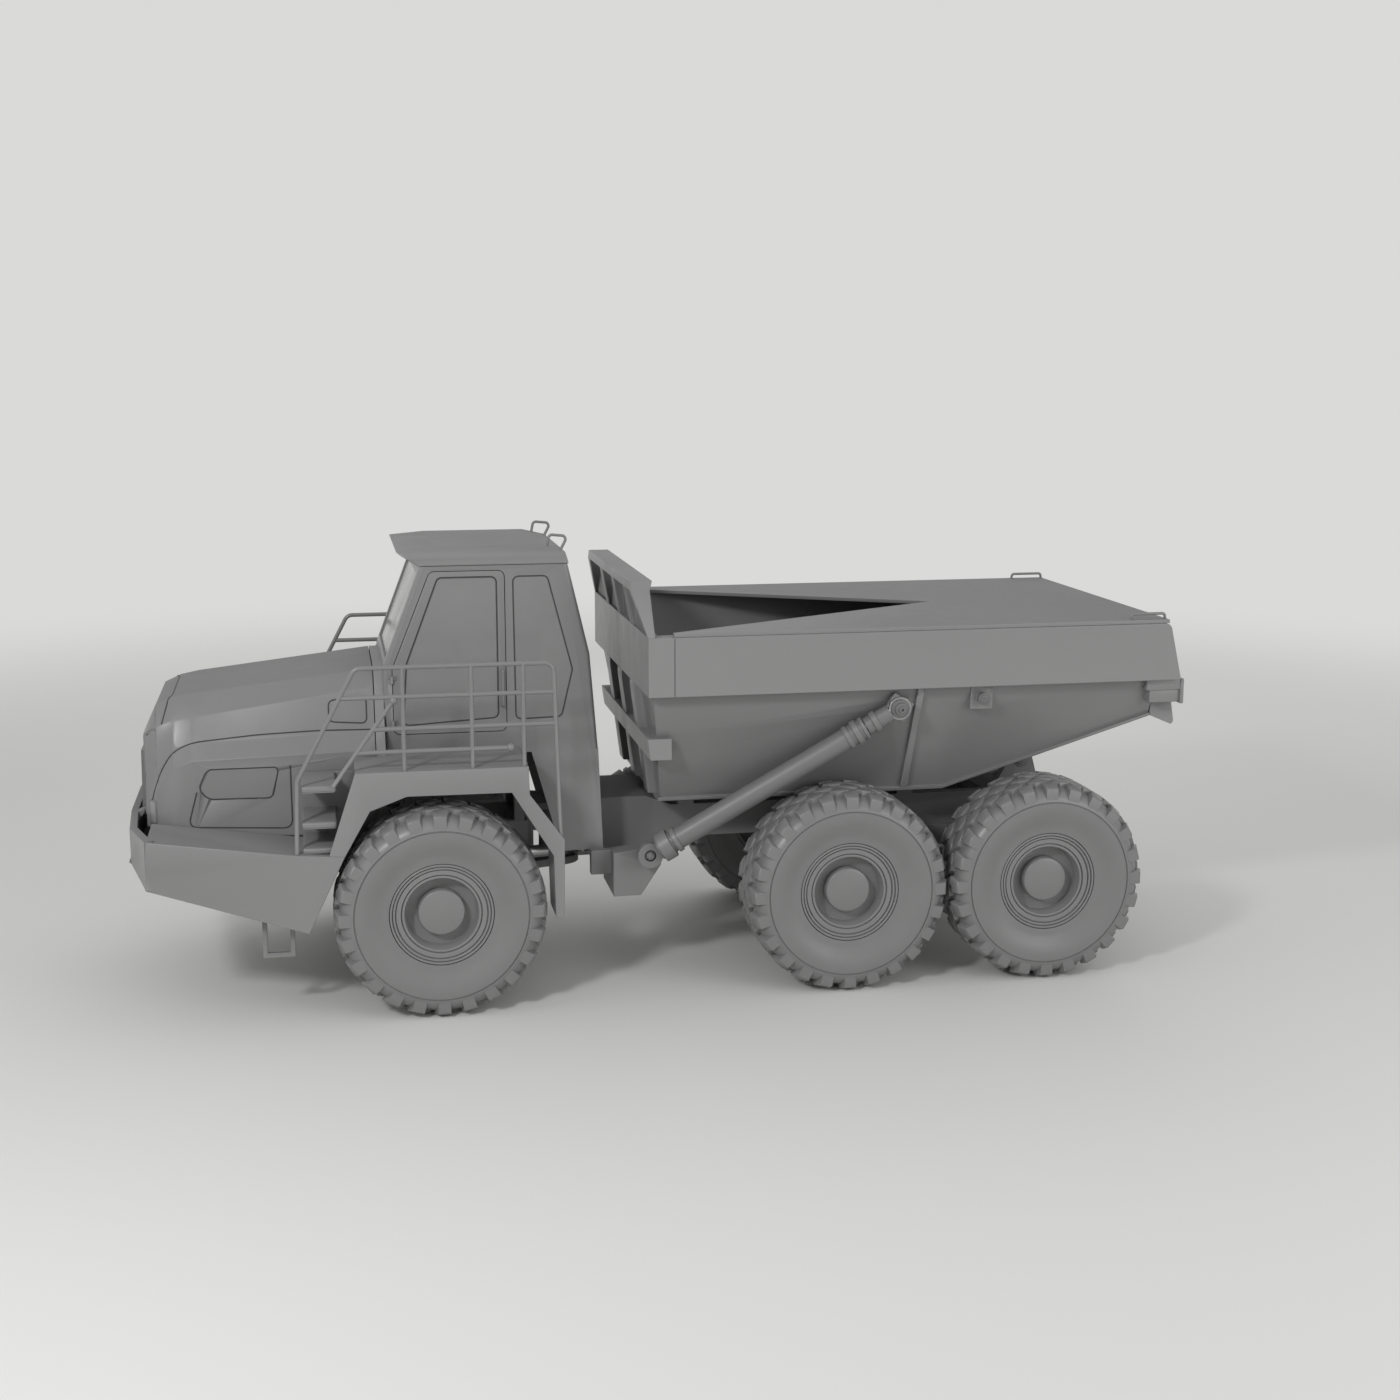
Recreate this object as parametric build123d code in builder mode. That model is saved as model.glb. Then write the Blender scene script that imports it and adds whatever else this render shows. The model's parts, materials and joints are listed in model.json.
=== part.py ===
from build123d import *
import os
from math import radians, tan

# Frame: X points forward, Y to the truck's left, Z up. The origin lies on the ground under
# the middle of the truck. All sizes are millimetres.

# Overall reach
nose_x = 4540
tail_x = -4540

# Fits
running_gap = 0.5
seat_gap = 0.3
panel_gap = 6
swing_gap = 10

# Tyres and rims
tyre_radius = 880
tyre_width = 660
shoulder_radius = 700
tread_half = 262
tread_groove = 60
lug_depth = 42
lugs_per_row = 24
bead_radius = 430
bead_inset = 80
hub_radius = 190
hub_cap_radius = 195
wheel_disc_inner = 20
wheel_disc_outer = 110

# Axles
track_half = 1394
front_axle_x = 2000
mid_axle_x = -1480
bogie_gap = 30
axle_tube_radius = 130
gear_case_radius = 240
hanger_radius = 60
tyre_half = tyre_width / 2
tyre_top = 2 * tyre_radius
axle_z = tyre_radius
rear_axle_x = mid_axle_x - tyre_top - bogie_gap

# Front frame
frame_half = 420
frame_rail = 120
frame_lift = 180
frame_depth = 280
bumper_arm = 700
post_width = 90
frame_low = axle_z + frame_lift
frame_top = frame_low + frame_depth
frame_front_x = nose_x - bumper_arm
rail_inner = frame_half - frame_rail

# Centre hitch
hitch_x = 850
hitch_pin_radius = 60
hitch_barrel_radius = 160
hitch_plate = 70
hitch_fork_half = 300
hitch_reach = 300
trunnion_radius = 140
frame_rear_x = hitch_x + hitch_reach
rear_head_x = hitch_x - hitch_reach
trunnion_end_x = rear_head_x - 110
hitch_z = frame_low + 90
hitch_low = hitch_z - 300
hitch_high = hitch_z + 300
hitch_ear_x = hitch_x - 190
hitch_ear_y = 400

# Steering cylinders
steer_pin_x = hitch_x + 710
steer_pin_y = frame_half + 170
steer_z = frame_low + 10
steer_barrel_radius = 55
steer_rod_radius = 28
steer_barrel_length = 614
steer_rod_tip = 360
steer_eye_radius = 60
steer_eye_thick = 60

# Front bumper
bumper_half = 1620
bumper_plate = 60
bumper_sheet = 30
bumper_tall = 399
bumper_low = frame_low + 138
bumper_high = bumper_low + bumper_tall
bumper_inner = 970
stirrup_low = 520
stirrup_bar = 40
tow_plate = 50
tow_bore_radius = 30

# Decks over the front wheels
arch_gap = 121
deck_rise = 209
deck_plate = 30
fender_plate = 20
fender_overlap = 94
mudguard_inner = 1200
step_thick = 50
step_run = 270
arch_top = tyre_top + arch_gap
deck_top = arch_top + deck_rise
fender_outer = bumper_half
fender_inner = track_half - tyre_half - fender_overlap
step_inner = fender_inner + 30
step_outer = fender_outer - 70

# Handrails
rail_y = fender_outer - 48
rail_radius = 19
rail_bend = 80
rail_ball = 34
rail_top = deck_top + 855

# Cab
cab_half = 800
cab_wall = 45
cab_height = 1625
cab_front_x = 2400
cab_length = 1835
cab_corner = 38
window_corner = 55
glass_thick = 10
glass_inset = 25
skirt_thick = 60
visor_rise = 160
cab_floor = deck_top - 50
cab_roof_line = cab_floor + cab_height
cab_rear_x = cab_front_x - cab_length
roof_half = cab_half - 10
skirt_low = frame_low + 85

# Door hinges
door_pivot_x = cab_front_x - 76
door_pivot_y = cab_half + 18
door_knuckle_radius = 12
door_leaf_thick = 12
door_leaf_reach = 34
door_knuckle_tall = 60

# Hood and engine
hood_half = 950
hood_skin = 25
hood_setback = 130
hood_gap = 80
grille_half = 419.5
grille_bar = 26
grille_bars = 9
hood_pin_radius = 12
hood_lug_radius = 22
hood_lug_y = 485
hood_lug_half = 15
engine_half = 400
engine_length = 1350
hood_nose_x = nose_x - hood_setback
hood_rear_x = cab_front_x + hood_gap
hood_pivot_x = hood_nose_x + 30
hood_pivot_z = bumper_high + 3

# Rear frame
rear_half = 450
rear_rail = 110
rear_depth = 300
rear_low = frame_low + 70
rear_top = rear_low + rear_depth
rear_inner = rear_half - rear_rail
ear_thick = 100
bed_pivot_x = -3450
bed_pin_radius = 50
bed_lug = 90
bed_lug_gap = 5
bed_ear_radius = 110
rear_end_x = bed_pivot_x - 190

# Dump body
body_front_x = 250
body_half = 1580
body_rail_wide = 130
body_floor_half = 980
body_sink = 160
body_tall = 1517
body_rail_tall = 500
body_wall = 50
body_rib = 32
body_break_x = -2500
body_tail_rise = 656
body_deck = 33
notch_x = -2680
body_side = body_half - body_rail_wide
body_floor = tyre_top - body_sink
body_top = body_floor + body_tall
body_rail_low = body_top - body_rail_tall
body_knee_z = body_rail_low - 57
body_tail_x = tail_x + 240
body_nose_x = body_front_x - 60
bed_pivot_z = body_floor + 120
headboard_rise = 443
headboard_half = 1250
rope_eye_radius = 12

# Hoist cylinders
hoist_low = Vector(body_front_x - 68, 1200, rear_low + 44)
hoist_high = Vector(-1935, body_side + 50, body_knee_z - 115)
hoist_barrel_radius = 95
hoist_collar_radius = 130
hoist_rod_radius = 45
hoist_eye_radius = 100
hoist_eye_thick = 90
hoist_low_eye = 80
hoist_head_gap = 330
hoist_pin_radius = 35
hoist_ball_radius = 50
hoist_boss_radius = 70
knuckle_y = hoist_low.Y - 130
knuckle_inner = 860


def plate(outline, y_low, y_high, mode=Mode.ADD, corner=0, grow=0):
    """Extrude an outline of (x, z) points across the truck, with round corners or an offset."""
    with BuildSketch(Plane((0, y_high, 0), x_dir=(1, 0, 0), z_dir=(0, -1, 0))) as profile:
        with BuildLine():
            Polyline(*outline, close=True)
        make_face()
        if corner:
            fillet(profile.vertices(), corner)
        if grow:
            offset(amount=grow, kind=Kind.INTERSECTION)
    extrude(profile.sketch, amount=y_high - y_low, mode=mode)


def beam(outline, x_low, x_high, mode=Mode.ADD, grow=0):
    """Extrude an outline of (y, z) points along the truck, with an offset if it has one."""
    with BuildSketch(Plane.YZ.offset(x_low)) as profile:
        with BuildLine():
            Polyline(*outline, close=True)
        make_face()
        if grow:
            offset(amount=grow, kind=Kind.INTERSECTION)
    extrude(profile.sketch, amount=x_high - x_low, mode=mode)


def slab(outline, z_low, z_high, mode=Mode.ADD, corner=0):
    """Extrude an outline of (x, y) points upwards, with round corners if it has them."""
    with BuildSketch(Plane.XY.offset(z_low)) as profile:
        with BuildLine():
            Polyline(*outline, close=True)
        make_face()
        if corner:
            fillet(profile.vertices(), corner)
    extrude(profile.sketch, amount=z_high - z_low, mode=mode)


def block(low, high, mode=Mode.ADD):
    """Add a block between two corners."""
    size = [b - a for a, b in zip(low, high)]
    with Locations(tuple((a + b) / 2 for a, b in zip(low, high))):
        Box(*size, mode=mode)


def bar(start, end, radius, mode=Mode.ADD):
    """Add a round bar between two points."""
    start = Vector(*start)
    run = Vector(*end) - start
    with BuildSketch(Plane(start, z_dir=run)) as profile:
        Circle(radius)
    extrude(profile.sketch, amount=run.length, mode=mode)


def tube(points, radius, bend):
    """Add a bent tube along points, with every corner bent to a radius."""
    with BuildLine() as path:
        FilletPolyline(*points, radius=bend)
    with BuildSketch(Plane(path.line @ 0, z_dir=path.line % 0)) as ring:
        Circle(radius)
    sweep(ring.sketch, path=path.line)


def both(side, near, far):
    """Sorted places on one side of the middle plane."""
    return sorted((side * near, side * far))


def save(part, name):
    part.label = name
    export_step(part, f"parts/{name}.step")


os.makedirs("parts", exist_ok=True)
sides = (("left", 1), ("right", -1))

# Tyre: a slice with a lug on its near shoulder, and the same slice turned over for the far one,
# set round the axle in turn
slice_reach = tyre_radius + 20
slice_half = slice_reach * tan(radians(90 / lugs_per_row))
tread_radius = tyre_radius - lug_depth
bead_place = tyre_half - bead_inset
# tyre section: radius, place along the axle
tyre_section = [
    (bead_radius, -bead_place),
    (shoulder_radius, -tyre_half),
    (tread_radius, -tread_groove),
    (tread_radius, tread_groove),
    (tyre_radius, tread_groove),
    (tyre_radius, tread_half),
    (shoulder_radius, tyre_half),
    (bead_radius, bead_place),
]
with BuildPart() as near_slice:
    with BuildSketch(Plane.XZ) as section:
        with BuildLine():
            Polyline(*tyre_section, close=True)
        make_face()
    extrude(section.sketch, amount=slice_half, both=True)
    with BuildSketch(Plane.XY.offset(-tyre_half)) as sector:
        with BuildLine():
            Polyline((0, 0), (slice_reach, -slice_half), (slice_reach, slice_half), close=True)
        make_face()
    extrude(sector.sketch, amount=tyre_width, mode=Mode.INTERSECT)
with BuildPart() as far_slice:
    add(near_slice.part)
    mirror(about=Plane.XY, mode=Mode.REPLACE)
with BuildPart() as tyre:
    with PolarLocations(0, lugs_per_row):
        add(near_slice.part)
    with PolarLocations(0, lugs_per_row, start_angle=180 / lugs_per_row):
        add(far_slice.part)

# Rim: lock rings round a deep dish, with the hub's cap in its middle
rim_radius = bead_radius - seat_gap
ring_groove = 14
cap_tall = 100
cap_edge = 22
rim_section = [
    (0, wheel_disc_inner),
    (hub_radius + 20, wheel_disc_inner),
    (rim_radius - 60, 120 - bead_place),
    (rim_radius - 30, -bead_place),
    (rim_radius, -bead_place),
    (rim_radius, bead_place),
]
# rim rings: inset of the outer edge, inset of the inner edge, how far the ring stands out
for outer, inner, stand in ((2, 22, 22), (30, 50, 14), (58, 98, 4), (106, 126, -4)):
    ring_face = bead_place + stand
    rim_section += [
        (bead_radius - outer, ring_face - ring_groove),
        (bead_radius - outer, ring_face),
        (bead_radius - inner, ring_face),
        (bead_radius - inner, ring_face - ring_groove),
    ]
cap_face = wheel_disc_outer + cap_tall
rim_section += [
    (bead_radius - 134, bead_place - 40),
    (bead_radius - 140, wheel_disc_outer),
    (hub_cap_radius, wheel_disc_outer),
    (hub_cap_radius, cap_face - cap_edge),
    (hub_cap_radius - cap_edge, cap_face),
    (0, cap_face),
]
with BuildPart() as rim:
    with BuildSketch(Plane.XZ):
        with BuildLine():
            Polyline(*rim_section, close=True)
        make_face()
    revolve(axis=Axis.Z)

# Six wheels: place name, axle x
for row, axle_x in (("front", front_axle_x), ("mid", mid_axle_x), ("rear", rear_axle_x)):
    for side_name, side in sides:
        wheel = Plane((axle_x, side * track_half, axle_z), x_dir=(1, 0, 0), z_dir=(0, side, 0))
        save(tyre.part.moved(wheel.location), f"tyre_{row}_{side_name}")
        save(rim.part.moved(wheel.location), f"rim_{row}_{side_name}")


def axle_beam(axle_x, pinion_reach, hanger_y, hanger_top):
    """Add one turned axle with its gear case, its pinion's nose and two hangers."""
    hub_face = track_half + wheel_disc_inner - running_gap
    hub_inner = track_half - tyre_half - 60
    # turned steps: place across, radius
    steps = [
        (0, gear_case_radius),
        (gear_case_radius / 2, gear_case_radius - 20),
        (gear_case_radius, axle_tube_radius + 30),
        (gear_case_radius + 160, axle_tube_radius),
        (hub_inner - 80, axle_tube_radius),
        (hub_inner - 20, hub_radius - 20),
        (hub_inner, hub_radius),
        (hub_face, hub_radius),
    ]
    turned = steps + [(hub_face, 0), (-hub_face, 0)] + [(-y, r) for y, r in steps[:0:-1]]
    centre = Plane((axle_x, 0, axle_z), x_dir=(0, 1, 0), z_dir=(1, 0, 0))
    with BuildSketch(centre) as section:
        with BuildLine():
            Polyline(*turned, close=True)
        make_face()
    revolve(section.sketch, axis=Axis((axle_x, 0, axle_z), (0, 1, 0)))
    flange_x = axle_x + pinion_reach
    bar((axle_x, 0, axle_z), (flange_x, 0, axle_z), 100)
    bar((flange_x, 0, axle_z), (flange_x + pinion_reach / 10, 0, axle_z), 120)
    for side in (1, -1):
        bar((axle_x, side * hanger_y, axle_z), (axle_x, side * hanger_y, hanger_top), hanger_radius)


# Front axle with its struts up to the frame
with BuildPart() as front_axle:
    axle_beam(front_axle_x, -320, frame_half - frame_rail / 2, frame_low - seat_gap)
save(front_axle.part, "front_axle")

# Front frame: two rails, cross members, cab posts and the hitch fork
with BuildPart() as front_frame:
    block((frame_rear_x, -frame_half, frame_low), (frame_front_x, frame_half, frame_top))
    # cross members between the rails: middle x
    members = (frame_rear_x + 75, front_axle_x + 260, front_axle_x + 1350, frame_front_x - 50)
    for member, next_member in zip(members, members[1:]):
        block(
            (member + 55, -rail_inner, frame_low),
            (next_member - 55, rail_inner, frame_top),
            Mode.SUBTRACT,
        )
    block(
        (frame_rear_x - 60, -hitch_fork_half, hitch_low),
        (frame_rear_x + 60, hitch_fork_half, hitch_high),
    )
    for z_low in (hitch_low, hitch_high - hitch_plate):
        slab(
            [
                (frame_rear_x, -hitch_fork_half),
                (frame_rear_x, hitch_fork_half),
                (hitch_x, 200),
                (hitch_x, -200),
            ],
            z_low,
            z_low + hitch_plate,
        )
        bar((hitch_x, 0, z_low), (hitch_x, 0, z_low + hitch_plate), 200)
    bar((hitch_x, 0, hitch_low), (hitch_x, 0, hitch_high), hitch_pin_radius)
    # cab posts: low x
    for post_x in (frame_rear_x + 30, cab_front_x - 250):
        for side in (1, -1):
            y_low, y_high = both(side, rail_inner, frame_half)
            block((post_x, y_low, frame_top), (post_x + post_width, y_high, cab_floor - seat_gap))
save(front_frame.part, "front_frame")

# Brackets under the frame's rails, each with the fixed pin of a steering cylinder
with BuildPart() as steer_brackets:
    for side in (1, -1):
        y_low, y_high = both(side, rail_inner, steer_pin_y + 60)
        block((steer_pin_x - 70, y_low, steer_z - 140), (steer_pin_x + 70, y_high, steer_z - 70))
        y_low, y_high = both(side, rail_inner, frame_half)
        block(
            (steer_pin_x - 70, y_low, steer_z - 140),
            (steer_pin_x + 70, y_high, frame_low - seat_gap),
        )
        bar(
            (steer_pin_x, side * steer_pin_y, steer_z - 80),
            (steer_pin_x, side * steer_pin_y, steer_z - steer_eye_thick / 2 - running_gap),
            40,
        )
save(steer_brackets.part, "steer_brackets")

# Hitch block: upright barrel on the fork's pin, and a shaft that the rear frame turns on
with BuildPart() as hitch_block:
    bar(
        (hitch_x, 0, hitch_low + hitch_plate + running_gap),
        (hitch_x, 0, hitch_high - hitch_plate - running_gap),
        hitch_barrel_radius,
    )
    bar((hitch_x, 0, hitch_z), (rear_head_x + 30, 0, hitch_z), trunnion_radius + 20)
    bar((rear_head_x + 30, 0, hitch_z), (rear_head_x + running_gap, 0, hitch_z), trunnion_radius + 70)
    bar((rear_head_x + 30, 0, hitch_z), (trunnion_end_x, 0, hitch_z), trunnion_radius)
    ear_top = steer_z - steer_eye_thick / 2 - running_gap
    slab(
        [
            (hitch_x - 60, -120),
            (hitch_x - 60, 120),
            (hitch_ear_x + 50, hitch_ear_y + 50),
            (hitch_ear_x - 50, hitch_ear_y + 50),
            (hitch_ear_x - 50, -hitch_ear_y - 50),
            (hitch_ear_x + 50, -hitch_ear_y - 50),
        ],
        ear_top - 40,
        ear_top,
    )
    bar(
        (hitch_x, 0, hitch_low),
        (hitch_x, 0, hitch_high),
        hitch_pin_radius + seat_gap,
        Mode.SUBTRACT,
    )
save(hitch_block.part, "hitch_block")

# Steering cylinders between the front frame and the hitch block
for side_name, side in sides:
    pin = Vector(steer_pin_x, side * steer_pin_y, steer_z)
    eye = Vector(hitch_ear_x, side * hitch_ear_y, steer_z)
    along = (eye - pin).normalized()
    mouth = pin + along * steer_barrel_length
    half_eye = Vector(0, 0, steer_eye_thick / 2)
    with BuildPart() as steer_barrel:
        bar(pin - half_eye, pin + half_eye, steer_eye_radius)
        bar(pin + along * (steer_eye_radius - 5), mouth, steer_barrel_radius)
        bar(pin + along * 60, mouth + along, steer_rod_radius + seat_gap, Mode.SUBTRACT)
    save(steer_barrel.part, f"steer_barrel_{side_name}")
    with BuildPart() as steer_rod:
        bar(eye - half_eye, eye + half_eye, steer_eye_radius)
        bar(eye - along * 20, pin + along * steer_rod_tip, steer_rod_radius)
    save(steer_rod.part, f"steer_rod_{side_name}")

# Front bumper's side: its top line rises to the nose, its belly drops back to the wheel
bumper_corner_x = nose_x - 195
bumper_top_line = [
    (front_axle_x + 770, frame_top + 60),
    (front_axle_x + 1163, frame_top + 90),
    (bumper_corner_x - 12, bumper_high),
]
bumper_low_line = [
    (front_axle_x + 1078, axle_z - 116),
    (bumper_corner_x + 8, bumper_low),
]
bumper_lip = bumper_low + 110
front_corner = (nose_x - 40, 1100)
front_middle = (nose_x, 450)


def bumper_deck(x):
    """Height of the bumper's rear deck at a place along the truck."""
    (x_a, z_a), (x_b, z_b) = bumper_top_line[:2]
    return z_a + (z_b - z_a) * (x - x_a) / (x_b - x_a)


# Front bumper: side plates, decks, belly, a front plate with cut corners, and hanging steps
with BuildPart() as front_bumper:
    side_inner = bumper_half - bumper_plate
    plate(bumper_top_line + bumper_low_line[::-1], side_inner, bumper_half)
    plate(
        bumper_top_line + [(x, z - bumper_sheet) for x, z in bumper_top_line[::-1]],
        bumper_inner,
        side_inner,
    )
    belly_line = bumper_low_line + [(nose_x - 20, bumper_lip)]
    plate(belly_line + [(x - 12, z + bumper_sheet) for x, z in belly_line[::-1]], 0, front_corner[1])
    plate(
        bumper_low_line + [(x - 12, z + bumper_sheet) for x, z in bumper_low_line[::-1]],
        front_corner[1],
        side_inner,
    )
    front_line = [(bumper_corner_x, bumper_half), front_corner, front_middle, (nose_x, 0)]
    slab(
        front_line + [(x - bumper_plate, y * side_inner / bumper_half) for x, y in front_line[::-1]],
        bumper_low,
        bumper_high,
    )
    plate(
        [
            (bumper_corner_x - bumper_plate, bumper_low - 1),
            (nose_x + 1, bumper_low - 1),
            (nose_x + 1, bumper_lip + 10),
            (nose_x - 20, bumper_lip),
            (bumper_corner_x + 8, bumper_low),
        ],
        0,
        bumper_half,
        Mode.SUBTRACT,
    )
    # lamps in the front plate: near edge y, far edge y
    for lamp_low, lamp_high in ((640, 790), (850, 1040)):
        slab(
            [
                (nose_x - 55, lamp_low),
                (nose_x - 2 - (lamp_low - 450) / 16, lamp_low),
                (nose_x - 2 - (lamp_high - 450) / 16, lamp_high),
                (nose_x - 55, lamp_high),
            ],
            bumper_high - 230,
            bumper_high - 50,
        )
    block(
        (frame_front_x + seat_gap, rail_inner, frame_low + 40),
        (nose_x - bumper_plate, frame_half, frame_top),
    )
    # hanging step: a flat bar bent into a stirrup under the belly
    step_x = front_axle_x + 1196
    step_wide = 263
    (belly_rear_x, belly_rear_z), (belly_front_x, belly_front_z) = bumper_low_line
    belly_rate = (belly_front_z - belly_rear_z) / (belly_front_x - belly_rear_x)
    step_head = belly_rear_z + belly_rate * (step_x - belly_rear_x) + 10
    plate(
        [
            (step_x, step_head),
            (step_x, stirrup_low),
            (step_x + step_wide, stirrup_low),
            (step_x + step_wide, step_head + belly_rate * step_wide),
            (step_x + step_wide - stirrup_bar, step_head + belly_rate * (step_wide - stirrup_bar)),
            (step_x + step_wide - stirrup_bar, stirrup_low + stirrup_bar),
            (step_x + stirrup_bar, stirrup_low + stirrup_bar),
            (step_x + stirrup_bar, step_head + belly_rate * stirrup_bar),
        ],
        bumper_half - 240,
        bumper_half - 200,
    )
    mirror(about=Plane.XZ)
    for ear_y in (hood_lug_y - 2 * hood_lug_half, hood_lug_y + 2 * hood_lug_half):
        for side in (1, -1):
            plate(
                [
                    (nose_x - 50, bumper_high - 97),
                    (nose_x - 50, bumper_high),
                    (hood_pivot_x + 10, hood_pivot_z + 18),
                    (hood_pivot_x - 10, hood_pivot_z + 18),
                    (hood_pivot_x - 20, hood_pivot_z),
                    (hood_pivot_x - 10, hood_pivot_z - 20),
                ],
                side * ear_y - hood_lug_half + 1,
                side * ear_y + hood_lug_half - 1,
            )
    for side in (1, -1):
        bar(
            (hood_pivot_x, side * (hood_lug_y - 3 * hood_lug_half), hood_pivot_z),
            (hood_pivot_x, side * (hood_lug_y + 3 * hood_lug_half), hood_pivot_z),
            hood_pin_radius,
        )
    tow_x = nose_x - bumper_plate - 70
    slab(
        [(tow_x - 90, -90), (nose_x - 10, -90), (nose_x - 10, 90), (tow_x - 90, 90)],
        bumper_low - tow_plate,
        bumper_low,
    )
    for y_low in (-90, 65):
        plate(
            [
                (tow_x - 60, bumper_low - 10),
                (nose_x - 20, bumper_low - 10),
                (nose_x - 20, bumper_lip + 5),
            ],
            y_low,
            y_low + 25,
        )
    bar(
        (tow_x, 0, bumper_low - tow_plate - 5),
        (tow_x, 0, bumper_low + 5),
        tow_bore_radius,
        Mode.SUBTRACT,
    )
save(front_bumper.part, "front_bumper")

# Engine block on the front frame
with BuildPart() as engine:
    engine_x = hood_nose_x - 360
    block(
        (engine_x - engine_length, -engine_half, frame_top + seat_gap),
        (engine_x, engine_half, deck_top + 210),
    )
    fillet(engine.edges().filter_by(Axis.X), 60)
save(engine.part, "engine")


# Hood: a shell through sections, open below and behind
def hood_loft(skin, mode):
    """Loft the hood's sections, each drawn in by the skin's thickness."""
    # sections: x, low z above the bumper, side half width, bend z, crease half width, crease z,
    # shoulder half width, shoulder z, crown half width, crown z, all but the first above the deck
    sections = (
        (hood_nose_x - 20, -77, 722, -430, 716, -350, 690, 200, 560, 215),
        (hood_nose_x - 125, -107, 862, -240, 824, -150, 712, 270, 575, 438),
        (hood_nose_x - 265, -117, 925, -60, 840, 80, 724, 320, 585, 500),
        (hood_nose_x - 420, -127, hood_half, 15, 846, 150, 730, 345, 592, 530),
        (hood_rear_x, -207, hood_half, 50, 846, 205, 752, 560, 625, 700),
    )
    faces = []
    for row in sections:
        x, low, side, bend_z, crease, crease_z, shoulder, shoulder_z, crown, crown_z = row
        right = [
            (side - skin, bumper_high + low - skin),
            (side - skin, deck_top + bend_z - skin / 2),
            (crease - skin, deck_top + crease_z - skin / 2),
            (shoulder - skin, deck_top + shoulder_z - skin),
            (crown - skin, deck_top + crown_z - skin),
        ]
        left = [(-y, z) for y, z in reversed(right)]
        x_skin = x - skin if x > hood_nose_x - 200 else x
        with BuildSketch(Plane.YZ.offset(x_skin if x > hood_rear_x else x - skin)) as section:
            with BuildLine():
                Polyline(*right, *left, close=True)
            make_face()
        faces.append(section.sketch.faces()[0])
    loft(faces, ruled=True, mode=mode)


grille_low = bumper_high - 76
grille_high = deck_top + 40
with BuildPart() as hood:
    hood_loft(0, Mode.ADD)
    hood_loft(hood_skin, Mode.SUBTRACT)
    block(
        (hood_nose_x - 80, -grille_half - 0.5, grille_low),
        (hood_nose_x + 60, grille_half + 0.5, grille_high),
        Mode.SUBTRACT,
    )
    # service door pressed into each side: its corners, forward of the hood's rear edge
    door_low, door_high = deck_top - 320, deck_top - 55
    for side in (1, -1):
        y_low, y_high = both(side, hood_half - 5, hood_half + 5)
        plate(
            [
                (hood_rear_x + 805, door_high),
                (hood_rear_x + 1375, door_high),
                (hood_rear_x + 1455, door_low + 95),
                (hood_rear_x + 1375, door_low),
                (hood_rear_x + 875, door_low),
            ],
            y_low,
            y_high,
            Mode.SUBTRACT,
            corner=35,
        )
        y_low = side * hood_lug_y - hood_lug_half
        y_high = side * hood_lug_y + hood_lug_half
        plate(
            [
                (hood_nose_x - 30, hood_pivot_z - 40),
                (hood_nose_x - 30, hood_pivot_z + 40),
                (hood_pivot_x, hood_pivot_z + hood_lug_radius),
                (hood_pivot_x, hood_pivot_z - hood_lug_radius),
            ],
            y_low,
            y_high,
        )
        bar((hood_pivot_x, y_low, hood_pivot_z), (hood_pivot_x, y_high, hood_pivot_z), hood_lug_radius)
        bar(
            (hood_pivot_x, y_low - 5, hood_pivot_z),
            (hood_pivot_x, y_high + 5, hood_pivot_z),
            hood_pin_radius + seat_gap,
            Mode.SUBTRACT,
        )
save(hood.part, "hood")

# Grille in the hood's nose: a frame with slanted bars
with BuildPart() as grille:
    grille_back = hood_nose_x - 65
    grille_face = hood_nose_x + 38
    rim_wide = 45
    plate(
        [
            (grille_back, grille_low + 0.5),
            (grille_face, grille_low + 40),
            (grille_face - 10, grille_high - 20),
            (grille_back, grille_high - 0.5),
        ],
        -grille_half,
        grille_half,
    )
    block(
        (grille_back - 5, rim_wide - grille_half, grille_low + 2 * rim_wide),
        (grille_face + 5, grille_half - rim_wide, grille_high - 1.5 * rim_wide),
        Mode.SUBTRACT,
    )
    window_tall = grille_high - grille_low - 3.5 * rim_wide
    bar_step = window_tall / grille_bars
    for place in range(grille_bars):
        z = grille_low + 2 * rim_wide + (place + 0.5) * bar_step
        plate(
            [
                (grille_back + 15, z + 6),
                (grille_back + 75, z - grille_bar / 2),
                (grille_back + 80, z - grille_bar / 2 + 8),
                (grille_back + 20, z + 14),
            ],
            rim_wide - grille_half - 5,
            grille_half - rim_wide + 5,
        )
    for mullion_y in (-150, 120):
        block(
            (grille_back + 10, mullion_y, grille_low + 2 * rim_wide - 5),
            (grille_back + 30, mullion_y + 30, grille_high - 1.5 * rim_wide + 5),
        )
save(grille.part, "grille")

# Fenders: outlines of the wheel arch, outer plate and the sheet over the tyre
arch_foot = axle_z - 90
ax = front_axle_x
arch_inner = [
    (ax + 770, bumper_deck(ax + 770) + seat_gap),
    (ax + 559, arch_top - 111),
    (ax + 258, arch_top),
    (ax - 598, arch_top - 5),
    (ax - 937, arch_top - 559),
    (ax - 951, arch_foot),
]
arch_outer = [
    (ax - 1023, arch_foot),
    (ax - 1031, arch_top - 426),
    (ax - 746, arch_top - 29),
    (ax - 741, deck_top),
    (ax + 670, deck_top),
    (ax + 897, bumper_deck(ax + 897) + seat_gap),
]
arch_sheet = [
    (ax - 976, arch_foot),
    (ax - 962, arch_top - 551),
    (ax - 612, arch_top + 20),
    (ax + 262, arch_top + 25),
    (ax + 576, arch_top - 89),
    (ax + 798, bumper_deck(ax + 798) + seat_gap),
]
plate_inner = fender_outer - fender_plate
step_front = ax + 1100
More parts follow.
